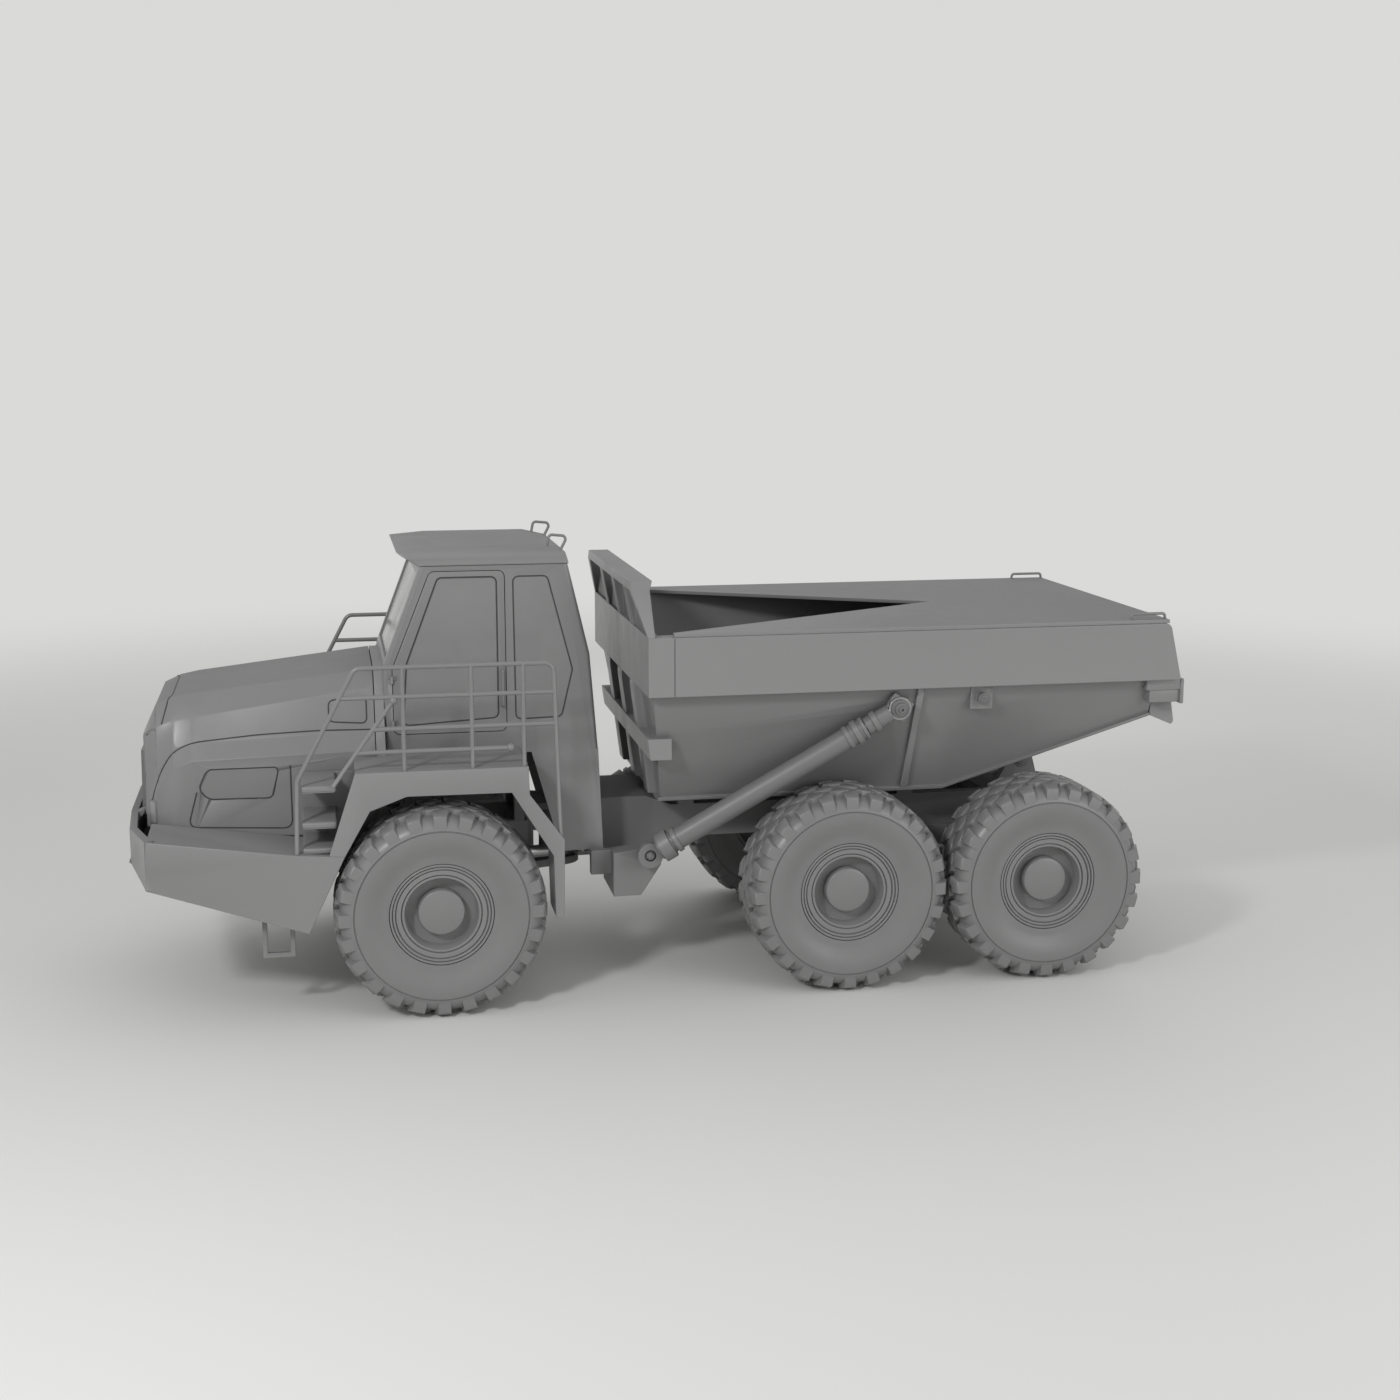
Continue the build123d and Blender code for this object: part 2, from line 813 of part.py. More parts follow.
with BuildPart() as fenders:
    plate(arch_inner + arch_outer, plate_inner, fender_outer)
    plate(arch_inner + arch_sheet, fender_inner, plate_inner)
    block(
        (ax - 1000, fender_inner - 5, arch_foot - 10),
        (ax - 900, mudguard_inner, arch_top - 559),
        Mode.SUBTRACT,
    )
    slab(
        [
            (ax - 741, cab_half + panel_gap),
            (cab_front_x + 30, cab_half + panel_gap),
            (cab_front_x + 30, fender_inner),
            (ax + 670, fender_inner),
            (ax + 670, plate_inner),
            (ax - 741, plate_inner),
        ],
        deck_top - deck_plate,
        deck_top,
    )
    for leg_x in (ax - 598, ax + 200):
        block((leg_x, fender_inner, arch_top + 9), (leg_x + 40, plate_inner, deck_top - 10))
    plate(
        [
            (ax + 785, bumper_deck(ax + 785) + seat_gap),
            (step_front, bumper_deck(step_front) + seat_gap),
            (step_front, deck_top - 110),
            (ax + 580, deck_top - 110),
            (ax + 580, arch_top - 115),
        ],
        fender_inner,
        step_inner,
    )
    # steps: low z, top z
    low_step = bumper_deck(step_front) + seat_gap
    treads = (
        (deck_top - 110 - step_thick, deck_top - 110),
        (deck_top - 410 - step_thick, deck_top - 410),
        (low_step, deck_top - 626),
    )
    for tread_low, tread_high in treads:
        slab(
            [
                (step_front - step_run, step_inner - 15),
                (step_front, step_inner - 15),
                (step_front, step_outer),
                (step_front - step_run, step_outer),
            ],
            tread_low,
            tread_high,
            corner=14,
        )
    mirror(about=Plane.XZ)
save(fenders.part, "fenders")

# Handrails along the deck and down the steps
rail_rear_x = ax - 960
stair_high = (ax + 345, rail_top - 271)
stair_low = (ax + 847, deck_top - 110 + seat_gap)
stair_rate = (stair_low[0] - stair_high[0]) / (stair_high[1] - stair_low[1])
rail_front = [
    (ax + 1153, bumper_deck(ax + 1153) + seat_gap + 2),
    (ax + 1131, deck_top - 55),
    (ax + 647, rail_top),
    (rail_rear_x, rail_top),
    (rail_rear_x - 43, arch_top - 451),
]
with BuildPart() as handrails:
    tube([(x, rail_y, z) for x, z in rail_front], rail_radius, rail_bend)
    # level rails: drop below the top rail, front x, rear x
    level_rails = (
        (241, ax + 760, rail_rear_x - 7),
        (505, stair_high[0] + stair_rate * (stair_high[1] - rail_top + 505), rail_rear_x - 14),
        (695, stair_high[0] + stair_rate * (stair_high[1] - rail_top + 695), ax - 601),
    )
    for drop, front, rear in level_rails:
        bar((front, rail_y, rail_top - drop), (rear, rail_y, rail_top - drop), rail_radius)
    bar((stair_high[0], rail_y, stair_high[1]), (stair_low[0], rail_y, stair_low[1]), rail_radius)
    with Locations((stair_high[0], rail_y, stair_high[1]), (ax - 601, rail_y, rail_top - 695)):
        Sphere(rail_ball)
    for post_x in (ax + 269, ax - 286, ax - 710):
        bar((post_x, rail_y, deck_top + seat_gap), (post_x, rail_y, rail_top), rail_radius)
    mirror(about=Plane.XZ)
save(handrails.part, "handrails")

# Cab outlines, as (x, z) points
screen_line = [(cab_front_x - 15, cab_floor + 810), (cab_front_x - 330, cab_roof_line)]
back_line = [(cab_rear_x + 65, cab_floor + 840), (cab_rear_x + 247, cab_roof_line)]
cab_outline = [
    screen_line[1],
    screen_line[0],
    (cab_front_x, cab_floor + 760),
    (cab_front_x, cab_floor),
    (cab_rear_x, cab_floor),
    back_line[0],
    back_line[1],
]
door_rear_x = cab_front_x - 1042
door_outline = [
    (cab_front_x - 415, cab_roof_line - 45),
    (cab_front_x - 82, cab_floor + 760),
    (cab_front_x - 82, cab_floor + 196),
    (door_rear_x, cab_floor + 196),
    (door_rear_x, cab_roof_line - 45),
]
door_window = [
    (cab_front_x - 476, cab_roof_line - 90),
    (cab_front_x - 196, cab_floor + 803),
    (cab_front_x - 156, cab_floor + 262),
    (door_rear_x + 62, cab_floor + 309),
    (door_rear_x + 61, cab_roof_line - 90),
]
rear_window = [
    (door_rear_x - 66, cab_roof_line - 90),
    (door_rear_x - 75, cab_floor + 286),
    (cab_rear_x + 312, cab_floor + 297),
    (cab_rear_x + 212, cab_floor + 714),
    (cab_rear_x + 421, cab_roof_line - 90),
]
screen_low, screen_high = cab_floor + 840, cab_roof_line - 65
back_low, back_high = cab_floor + 710, cab_roof_line - 165
screen_half = cab_half - 100
back_half = cab_half - 240


def inward(line, sign, low, high, depth_low, depth_high):
    """Slice of a leaning wall behind the line of its outer face, between two heights."""
    (x_a, z_a), (x_b, z_b) = line
    rate = (x_b - x_a) / (z_b - z_a)
    return [
        (x_a + rate * (low - z_a) - sign * depth_low, low),
        (x_a + rate * (high - z_a) - sign * depth_low, high),
        (x_a + rate * (high - z_a) - sign * depth_high, high),
        (x_a + rate * (low - z_a) - sign * depth_high, low),
    ]


def door_hinges(side, reach_sign, low, high):
    """Add one half of each door hinge: a knuckle on the hinge axis and its leaf."""
    for z in (cab_floor + 260, cab_floor + 640):
        bar(
            (door_pivot_x, side * door_pivot_y, z + low),
            (door_pivot_x, side * door_pivot_y, z + high),
            door_knuckle_radius,
        )
        x_low, x_high = sorted((door_pivot_x, door_pivot_x + reach_sign * door_leaf_reach))
        y_low, y_high = both(side, cab_half, cab_half + door_leaf_thick)
        block((x_low, y_low, z + low), (x_high, y_high, z + high))


# Cab shell: round corner posts, window and door openings, and skirts below the floor
with BuildPart() as cab_shell:
    plate(cab_outline, -cab_half, cab_half)
    upright = [
        edge
        for edge in cab_shell.edges()
        if abs(edge.tangent_at(0).Y) < 0.1 and abs(edge.tangent_at(0).Z) > 0.1
    ]
    fillet(upright, cab_corner)
    plate(cab_outline, cab_wall - cab_half, cab_half - cab_wall, Mode.SUBTRACT, grow=-cab_wall)
    for side in (1, -1):
        y_low, y_high = both(side, cab_half - cab_wall - 5, cab_half + 5)
        plate(door_outline, y_low, y_high, Mode.SUBTRACT, corner=window_corner, grow=panel_gap)
        plate(rear_window, y_low, y_high, Mode.SUBTRACT, corner=window_corner)
        y_low, y_high = both(side, cab_half - skirt_thick, cab_half)
        plate(
            [
                (cab_rear_x + 585, cab_floor + 10),
                (cab_rear_x + 1, cab_floor + 10),
                (cab_rear_x - 34, skirt_low),
                (cab_rear_x + 335, skirt_low),
            ],
            y_low,
            y_high,
        )
        door_hinges(side, 1, 0, door_knuckle_tall / 2 - seat_gap)
    plate(
        inward(screen_line, 1, screen_low, screen_high, -20, 90),
        -screen_half,
        screen_half,
        Mode.SUBTRACT,
    )
    plate(inward(back_line, -1, back_low, back_high, -20, 90), -back_half, back_half, Mode.SUBTRACT)
save(cab_shell.part, "cab_shell")

# Cab glass: windscreen, rear side panes and rear pane
with BuildPart() as cab_glass:
    plate(
        inward(screen_line, 1, screen_low + seat_gap, screen_high - seat_gap, 15, 15 + glass_thick),
        seat_gap - screen_half,
        screen_half - seat_gap,
    )
    plate(
        inward(back_line, -1, back_low + seat_gap, back_high - seat_gap, 15, 15 + glass_thick),
        seat_gap - back_half,
        back_half - seat_gap,
    )
    for side in (1, -1):
        y_low, y_high = both(side, cab_half - glass_inset, cab_half - glass_inset + glass_thick)
        plate(rear_window, y_low, y_high, corner=window_corner)
save(cab_glass.part, "cab_glass")

# Doors with their panes, grab bars and hinge halves
for side_name, side in sides:
    with BuildPart() as door:
        y_low, y_high = both(side, cab_half - cab_wall, cab_half)
        plate(door_outline, y_low, y_high, corner=window_corner)
        plate(door_window, y_low - 5, y_high + 5, Mode.SUBTRACT, corner=window_corner)
        handle_x = door_rear_x + 27
        tube(
            [
                (handle_x, side * (cab_half - 5), cab_floor + 410),
                (handle_x, side * (cab_half + 30), cab_floor + 410),
                (handle_x, side * (cab_half + 30), cab_floor + 730),
                (handle_x, side * (cab_half - 5), cab_floor + 730),
            ],
            10,
            20,
        )
        door_hinges(side, -1, door_knuckle_tall / 2, door_knuckle_tall)
    save(door.part, f"door_{side_name}")
    with BuildPart() as door_glass:
        y_low, y_high = both(side, cab_half - glass_inset, cab_half - glass_inset + glass_thick)
        plate(door_window, y_low, y_high, corner=window_corner)
    save(door_glass.part, f"door_glass_{side_name}")

# Roof with its front visor, sloped sides and two lifting handles
roof_base = cab_roof_line + seat_gap
with BuildPart() as cab_roof:
    plate(
        [
            (cab_front_x - 135, roof_base + 129),
            (cab_front_x - 450, roof_base + visor_rise),
            (cab_rear_x + 485, roof_base + visor_rise),
            (cab_rear_x + 265, roof_base + visor_rise - 55),
            (cab_rear_x + 235, roof_base),
            (cab_front_x - 325, roof_base),
            (cab_front_x - 175, roof_base + 95),
        ],
        -roof_half,
        roof_half,
    )
    beam(
        [
            (-roof_half, roof_base - 5),
            (roof_half, roof_base - 5),
            (roof_half, roof_base + 70),
            (roof_half - 25, roof_base + 110),
            (roof_half - 90, roof_base + visor_rise + 1),
            (90 - roof_half, roof_base + visor_rise + 1),
            (25 - roof_half, roof_base + 110),
            (-roof_half, roof_base + 70),
        ],
        cab_rear_x,
        cab_front_x,
        Mode.INTERSECT,
    )
    for side in (1, -1):
        tube(
            [
                (cab_rear_x + 405, side * 620, roof_base + visor_rise - 30),
                (cab_rear_x + 385, side * 620, roof_base + 235),
                (cab_rear_x + 225, side * 620, roof_base + 220),
                (cab_rear_x + 290, side * 620, roof_base + 95),
            ],
            12,
            32,
        )
save(cab_roof.part, "cab_roof")

# Seat on its pedestal, with a curved cushion and back
seat_floor = cab_floor + cab_wall + seat_gap
seat_x = cab_front_x - 1350
with BuildPart() as seat:
    block((seat_x + 100, -180, seat_floor), (seat_x + 400, 180, seat_floor + 340))
    plate(
        [
            (seat_x, seat_floor + 330),
            (seat_x + 510, seat_floor + 330),
            (seat_x + 510, seat_floor + 460),
            (seat_x, seat_floor + 440),
        ],
        -260,
        260,
        corner=40,
    )
    plate(
        [
            (seat_x, seat_floor + 400),
            (seat_x + 130, seat_floor + 400),
            (seat_x + 30, seat_floor + 1050),
            (seat_x - 80, seat_floor + 1050),
        ],
        -250,
        250,
        corner=40,
    )
save(seat.part, "seat")

# Steering column, wheel and dashboard
with BuildPart() as console:
    console_front = cab_front_x - cab_wall - seat_gap
    plate(
        [
            (console_front, seat_floor),
            (console_front, seat_floor + 700),
            (cab_front_x - 220, seat_floor + 740),
            (cab_front_x - 300, seat_floor + 560),
            (cab_front_x - 200, seat_floor),
        ],
        -620,
        620,
    )
    hub_place = (cab_front_x - 500, 0, seat_floor + 760)
    bar((cab_front_x - 250, 0, seat_floor + 500), hub_place, 35)
    with BuildSketch(Plane(hub_place, z_dir=(-250, 0, 260))):
        Circle(220)
        Circle(190, mode=Mode.SUBTRACT)
        Rectangle(390, 40)
    extrude(amount=25)
save(console.part, "console")

# Rear frame: head with the hitch bore, two rails, bolsters and the ears of the bed's pivot
with BuildPart() as rear_frame:
    block((rear_end_x, -rear_half, rear_low), (rear_head_x - 450, rear_half, rear_top))
    # bays between cross members: low x, high x
    bays = (
        (mid_axle_x + 130, rear_head_x - 630),
        (rear_axle_x + 150, mid_axle_x - 120),
        (rear_end_x + 120, rear_axle_x - 130),
    )
    for bay_low, bay_high in bays:
        block((bay_low, -rear_inner, rear_low), (bay_high, rear_inner, rear_top), Mode.SUBTRACT)
    plate(
        [
            (rear_head_x, hitch_z - 270),
            (rear_head_x, hitch_z + 270),
            (rear_head_x - 60, rear_top + 90),
            (rear_head_x - 455, rear_top + 90),
            (rear_head_x - 690, rear_top),
            (rear_head_x - 690, rear_low),
            (rear_head_x - 550, hitch_z - 270),
        ],
        -rear_half,
        rear_half,
    )
    bar(
        (rear_head_x + 5, 0, hitch_z),
        (trunnion_end_x, 0, hitch_z),
        trunnion_radius + running_gap,
        Mode.SUBTRACT,
    )
    # bolsters under the dump body: low x
    for bolster_x in (rear_head_x - 900, mid_axle_x - 920):
        block(
            (bolster_x, -rear_half, rear_top),
            (bolster_x + 150, rear_half, body_floor - seat_gap),
        )
    for side in (1, -1):
        y_low, y_high = both(side, rear_half - ear_thick, rear_half)
        plate(
            [
                (rear_end_x, rear_top - 10),
                (bed_pivot_x - bed_ear_radius, bed_pivot_z),
                (bed_pivot_x + bed_ear_radius, bed_pivot_z),
                (bed_pivot_x + 290, rear_top - 10),
            ],
            y_low,
            y_high,
        )
        bar((bed_pivot_x, y_low, bed_pivot_z), (bed_pivot_x, y_high, bed_pivot_z), bed_ear_radius)
    bar((bed_pivot_x, -rear_half, bed_pivot_z), (bed_pivot_x, rear_half, bed_pivot_z), bed_pin_radius)
    tow_z = rear_low + 60
    slab(
        [
            (rear_end_x + 50, -110),
            (rear_end_x + 50, 110),
            (rear_end_x - 150, 90),
            (rear_end_x - 150, -90),
        ],
        tow_z,
        tow_z + tow_plate,
    )
    bar(
        (rear_end_x - 90, 0, tow_z - 5),
        (rear_end_x - 90, 0, tow_z + tow_plate + 5),
        tow_bore_radius,
        Mode.SUBTRACT,
    )
save(rear_frame.part, "rear_frame")

# Arms beside the rear frame's head, each with the ball pin of a hoist cylinder
arm_root_x = rear_head_x - 70
with BuildPart() as hoist_arms:
    for side in (1, -1):
        y_low, y_high = both(side, rear_half + seat_gap, knuckle_inner + 20)
        block((arm_root_x - 240, y_low, axle_z - 100), (arm_root_x, y_high, axle_z + 100))
        y_low, y_high = both(side, knuckle_inner, knuckle_y)
        plate(
            [
                (arm_root_x, axle_z - 100),
                (arm_root_x, hoist_low.Z - 6),
                (hoist_low.X + 60, hoist_low.Z + 20),
                (hoist_low.X - 122, hoist_low.Z + 116),
                (hoist_low.X - 122, hoist_low.Z - 124),
                (arm_root_x - 240, axle_z - 100),
            ],
            y_low,
            y_high,
        )
        y_low, y_high = both(side, knuckle_inner, knuckle_inner + 90)
        plate(
            [
                (arm_root_x - 10, axle_z + 73),
                (arm_root_x + 180, axle_z + 73),
                (arm_root_x + 180, hoist_low.Z - 6),
                (arm_root_x - 10, hoist_low.Z - 6),
            ],
            y_low,
            y_high,
        )
        bar(
            (hoist_low.X, side * (knuckle_y - 20), hoist_low.Z),
            (hoist_low.X, side * (hoist_low.Y - hoist_low_eye / 2 - swing_gap), hoist_low.Z),
            hoist_boss_radius,
        )
        bar(
            (hoist_low.X, side * knuckle_y, hoist_low.Z),
            (hoist_low.X, side * (hoist_low.Y + hoist_low_eye / 2), hoist_low.Z),
            hoist_pin_radius,
        )
        with Locations((hoist_low.X, side * hoist_low.Y, hoist_low.Z)):
            Sphere(hoist_ball_radius)
save(hoist_arms.part, "hoist_arms")

# Middle and rear axles
with BuildPart() as rear_axles:
    for axle_x in (mid_axle_x, rear_axle_x):
        axle_beam(axle_x, 320, rear_half - rear_rail / 2, rear_low - seat_gap)
save(rear_axles.part, "rear_axles")

# Bogie beams that join the two rear axles on each side
beam_inner = 640
beam_thick = 120
with BuildPart() as bogie_beams:
    for side in (1, -1):
        y_low, y_high = both(side, beam_inner, beam_inner + beam_thick)
        mid_x = (mid_axle_x + rear_axle_x) / 2
        plate(
            [
                (mid_axle_x + 160, axle_z - 40),
                (mid_axle_x + 160, axle_z + 150),
                (mid_x + 200, axle_z + 330),
                (mid_x - 200, axle_z + 330),
                (rear_axle_x - 160, axle_z + 150),
                (rear_axle_x - 160, axle_z - 40),
                (rear_axle_x + 220, axle_z + 40),
                (mid_x - 120, axle_z + 160),
                (mid_x + 120, axle_z + 160),
                (mid_axle_x - 220, axle_z + 40),
            ],
            y_low,
            y_high,
        )
        for axle_x in (mid_axle_x, rear_axle_x):
            bar((axle_x, y_low, axle_z), (axle_x, y_high, axle_z), axle_tube_radius + 40)
            bar(
                (axle_x, y_low - 10, axle_z),
                (axle_x, y_high + 10, axle_z),
                axle_tube_radius + seat_gap,
                Mode.SUBTRACT,
            )
        bar(
            (mid_x, side * beam_inner, axle_z + 250),
            (mid_x, side * (rear_half + seat_gap), axle_z + 250),
            70,
        )
save(bogie_beams.part, "bogie_beams")


def body_outline(top):
    """Side outline of the dump body up to a height, as (x, z) points."""
    return [
        (body_nose_x, top),
        (body_nose_x, body_rail_low - 17),
        (body_nose_x - 130, body_floor + 50),
        (body_nose_x - 170, body_floor),
        (body_break_x, body_floor),
        (body_tail_x, body_floor + body_tail_rise),
        (body_tail_x, top),
    ]


def body_cross(top):
    """Cross outline of the dump body up to a height, as (y, z) points."""
    return [
        (-body_floor_half, body_floor),
        (body_floor_half, body_floor),
        (body_side, body_knee_z),
        (body_side, top),
        (-body_side, top),
        (-body_side, body_knee_z),
    ]


# Load space inside the dump body
open_top = body_top + 2 * body_wall
with BuildPart() as load_space:
    plate(body_outline(open_top), -body_side, body_side, grow=-body_wall)
    beam(body_cross(open_top), body_tail_x, body_nose_x, Mode.INTERSECT, grow=-body_wall)

# Edge bead along the floor and one upright rib behind each hoist pin
bead_front = body_nose_x - 110
rib_x = hoist_high.X - 225
with BuildPart() as body_ribs:
    plate(
        [
            (bead_front, body_floor),
            (body_break_x, body_floor),
            (body_tail_x, body_floor + body_tail_rise),
            (body_tail_x, body_floor + body_tail_rise + body_rib),
            (body_break_x, body_floor + body_rib),
            (bead_front, body_floor + body_rib),
        ],
        -body_half,
        body_half,
    )
    block((rib_x, -body_half, body_floor), (rib_x + 50, body_half, body_rail_low - 10))
    beam(body_cross(body_top), body_tail_x, body_nose_x, Mode.INTERSECT, grow=body_rib)

# Dump body shell: sloping sides, a floor that rises to the tail, and ribs on its front
band_low = body_floor + 435
band_high = band_low + 185
front_rate = 130 / (body_rail_low - 17 - body_floor - 50)
with BuildPart() as body_shell:
    plate(body_outline(body_top), -body_side, body_side)
    beam(body_cross(body_top + 1), body_tail_x - 1, body_nose_x + 1, Mode.INTERSECT)
    add(body_ribs.part)
    band_x = body_nose_x - front_rate * (body_rail_low - 17 - band_low)
    plate(
        [
            (band_x - 20, band_low),
            (band_x + 85, band_low),
            (band_x + 85 + front_rate * 185, band_high),
            (band_x + 5, band_high),
        ],
        -1350,
        1350,
    )
    for side in (1, -1):
        y_low, y_high = both(side, 1180, 1350)
        block((band_x - 100, y_low, band_low), (band_x + 85, y_high, band_high))
    # upright ribs on the front: middle y, half width
    for rib_y, rib_half in ((-700, 110), (0, 125), (700, 110)):
        plate(
            [
                (body_nose_x - 150, body_floor + 30),
                (body_nose_x - 60, body_floor + 30),
                (body_front_x, body_rail_low - 60),
                (body_front_x, body_rail_low - 1),
                (body_nose_x - 20, body_rail_low - 1),
            ],
            rib_y - rib_half,
            rib_y + rib_half,
        )
    for side in (1, -1):
        y_low, y_high = both(
            side,
            rear_half - ear_thick - bed_lug_gap - bed_lug,
            rear_half - ear_thick - bed_lug_gap,
        )
        plate(
            [
                (bed_pivot_x - 80, bed_pivot_z - 60),
                (bed_pivot_x - 80, bed_pivot_z + 270),
                (bed_pivot_x + 400, bed_pivot_z + 100),
                (bed_pivot_x + 80, bed_pivot_z - 60),
            ],
            y_low,
            y_high,
        )
    bar(
        (bed_pivot_x, -rear_half, bed_pivot_z),
        (bed_pivot_x, rear_half, bed_pivot_z),
        bed_pin_radius + seat_gap,
        Mode.SUBTRACT,
    )
    for side in (1, -1):
        bar(
            (hoist_high.X, side * (body_side - 80), hoist_high.Z),
            (
                hoist_high.X,
                side * (hoist_high.Y - hoist_eye_thick / 2 - 1.5 * swing_gap),
                hoist_high.Z,
            ),
            60,
        )
        # spare pin on its square plate
        spare_x, spare_z = hoist_high.X - 755, hoist_high.Z + 55
        y_low, y_high = both(side, body_side - 90, body_side + 10)
        block((spare_x - 100, y_low, spare_z - 100), (spare_x + 100, y_high, spare_z + 100))
        bar(
            (spare_x, side * body_side, spare_z),
            (spare_x, side * (body_side + 80), spare_z),
            45,
        )
    add(load_space.part, mode=Mode.SUBTRACT)
save(body_shell.part, "body_shell")

# Rails round the top of the dump body, with the stepped tail and its spout lip
with BuildPart() as body_rails:
    plate(
        [
            (body_front_x, body_top),
            (body_front_x, body_rail_low),
            (tail_x + 60, body_rail_low),
            (tail_x + 174, body_top),
        ],
        -body_half,
        body_half,
    )
    tail_corner = body_rails.edges().filter_by(Axis.Y).sort_by(Axis.Z)[-2:].sort_by(Axis.X)[0]
    fillet(tail_corner, 60)
    block(
        (body_tail_x, -body_side, body_rail_low - 100),
        (body_nose_x, body_side, body_top + 100),
        Mode.SUBTRACT,
    )
    # tail steps: low z below the rail, top z below the rail, reach behind the body, half width
    for drop_low, drop_high, reach, half in ((115, 0, 180, body_side - 70), (231, 115, 200, body_side - 40)):
        block(
            (body_tail_x - reach, -half, body_rail_low - drop_low),
            (body_tail_x - 10, half, body_rail_low - drop_high),
        )
    spout_top = body_rail_low - 231
    plate(
        [
            (body_tail_x - 10, spout_top - 126),
            (body_tail_x - 10, spout_top),
            (body_tail_x - 210, spout_top),
            (tail_x, spout_top - 186),
            (tail_x + 20, spout_top - 216),
        ],
        120 - body_side,
        body_side - 120,
    )
save(body_rails.part, "body_rails")

# Cover deck over the rear of the body, with a wide notch open to the load space
cover_half = body_half - 20
cover_front_x = body_front_x - 220
with BuildPart() as body_cover:
    slab(
        [
            (cover_front_x, body_side + 50),
            (cover_front_x, cover_half),
            (tail_x + 180, cover_half),
            (tail_x + 180, -cover_half),
            (cover_front_x, -cover_half),
            (cover_front_x, -body_side - 50),
            (notch_x, 0),
        ],
        body_top,
        body_top + body_deck,
    )
    cover_top = body_top + body_deck
    for side in (1, -1):
        eye_y = side * (cover_half - 60)
        tube(
            [
                (tail_x + 520, eye_y, cover_top - 5),
                (tail_x + 510, eye_y, cover_top + 47),
                (tail_x + 210, eye_y, cover_top + 47),
                (tail_x + 200, eye_y, cover_top - 5),
            ],
            rope_eye_radius,
            25,
        )
save(body_cover.part, "body_cover")

# Headboard above the front of the body: a leaning face in a frame, with upright ribs
headboard_top = body_top + headboard_rise
headboard_lip = headboard_top - 80
frame_wide = 60
with BuildPart() as headboard:
    for inset, z_low, z_high, front_low, front_high, mode in (
        (0, body_top, headboard_top, body_front_x, body_front_x + 100, Mode.ADD),
        (frame_wide, body_top - 1, headboard_lip, body_front_x + 200, body_front_x + 200, Mode.SUBTRACT),
    ):
        with BuildSketch(Plane.YZ.offset(body_nose_x + (35 if inset else -90))) as face:
            with BuildLine():
                Polyline(
                    (inset - body_half, z_low),
                    (body_half - inset, z_low),
                    (headboard_half - inset, z_high),
                    (inset - headboard_half, z_high),
                    close=True,
                )
            make_face()
        extrude(face.sketch, amount=400, mode=mode)
    plate(
        [
            (body_nose_x, body_top),
            (body_front_x, body_top),
            (body_front_x + 100, headboard_lip),
            (body_front_x + 100, headboard_top),
            (body_nose_x - 30, headboard_top),
            (body_nose_x, headboard_lip),
        ],
        -body_half,
        body_half,
        Mode.INTERSECT,
    )
    for rib_y in (-700, 0, 700):
        plate(
            [
                (body_nose_x + 20, body_top),
                (body_front_x - 2, body_top),
                (body_front_x + 70, headboard_lip + 10),
                (body_nose_x + 20, headboard_lip + 10),
            ],
            rib_y - 90,
            rib_y + 90,
        )
save(headboard.part, "headboard")

# Hoist cylinders from the frame's arms to the dump body
for side_name, side in sides:
    low = Vector(hoist_low.X, side * hoist_low.Y, hoist_low.Z)
    high = Vector(hoist_high.X, side * hoist_high.Y, hoist_high.Z)
    along = (high - low).normalized()
    reach = (high - low).length
    mouth = reach - hoist_head_gap
    with BuildPart() as hoist_barrel:
        half_eye = hoist_low_eye / 2
        bar((low.X, low.Y - half_eye, low.Z), (low.X, low.Y + half_eye, low.Z), hoist_collar_radius - 20)
        bar(low + along * 90, low + along * mouth, hoist_barrel_radius)
        bar(
            (low.X, low.Y - half_eye - 5, low.Z),
            (low.X, low.Y + half_eye + 5, low.Z),
            hoist_ball_radius + seat_gap,
            Mode.SUBTRACT,
        )
        # collars: start along the barrel, end, radius
        collars = (
            (110, 215, hoist_collar_radius),
            (245, 285, hoist_collar_radius - 18),
            (mouth - 190, mouth - 150, hoist_barrel_radius + 12),
            (mouth - 110, mouth - 60, hoist_barrel_radius + 18),
            (mouth - 30, mouth, hoist_barrel_radius + 10),
        )
        for start, end, radius in collars:
            bar(low + along * start, low + along * end, radius)
        bar(low + along * 130, low + along * (mouth + 1), hoist_rod_radius + seat_gap, Mode.SUBTRACT)
    save(hoist_barrel.part, f"hoist_barrel_{side_name}")
    with BuildPart() as hoist_rod:
        half_eye = hoist_eye_thick / 2
        bar((high.X, high.Y - half_eye, high.Z), (high.X, high.Y + half_eye, high.Z), hoist_eye_radius)
        bar(low + along * 160, high, hoist_rod_radius)
        bar(low + along * (reach - 170), low + along * (reach - 80), hoist_rod_radius + 20)
    save(hoist_rod.part, f"hoist_rod_{side_name}")
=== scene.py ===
# %% [markdown]
# # An articulated dump truck, dressed for the studio
#
# The truck's solids come packed as a fixed frame: every plate, tube and wheel is already at its
# real place, in metres, with X forward, Y to the truck's left and Z up. This lesson dresses that
# frame. Flat plates keep their shape and get soft edges, tyres get their tread, the hood gets its
# lamps and dark strips of painted shade along its seams, and each surface gets the finish that its
# real material has.

# %% Load the frame
import json
from math import cos, pi, radians, sin

import bmesh
import bpy
from mathutils import Matrix, Vector
from mathutils.bvhtree import BVHTree


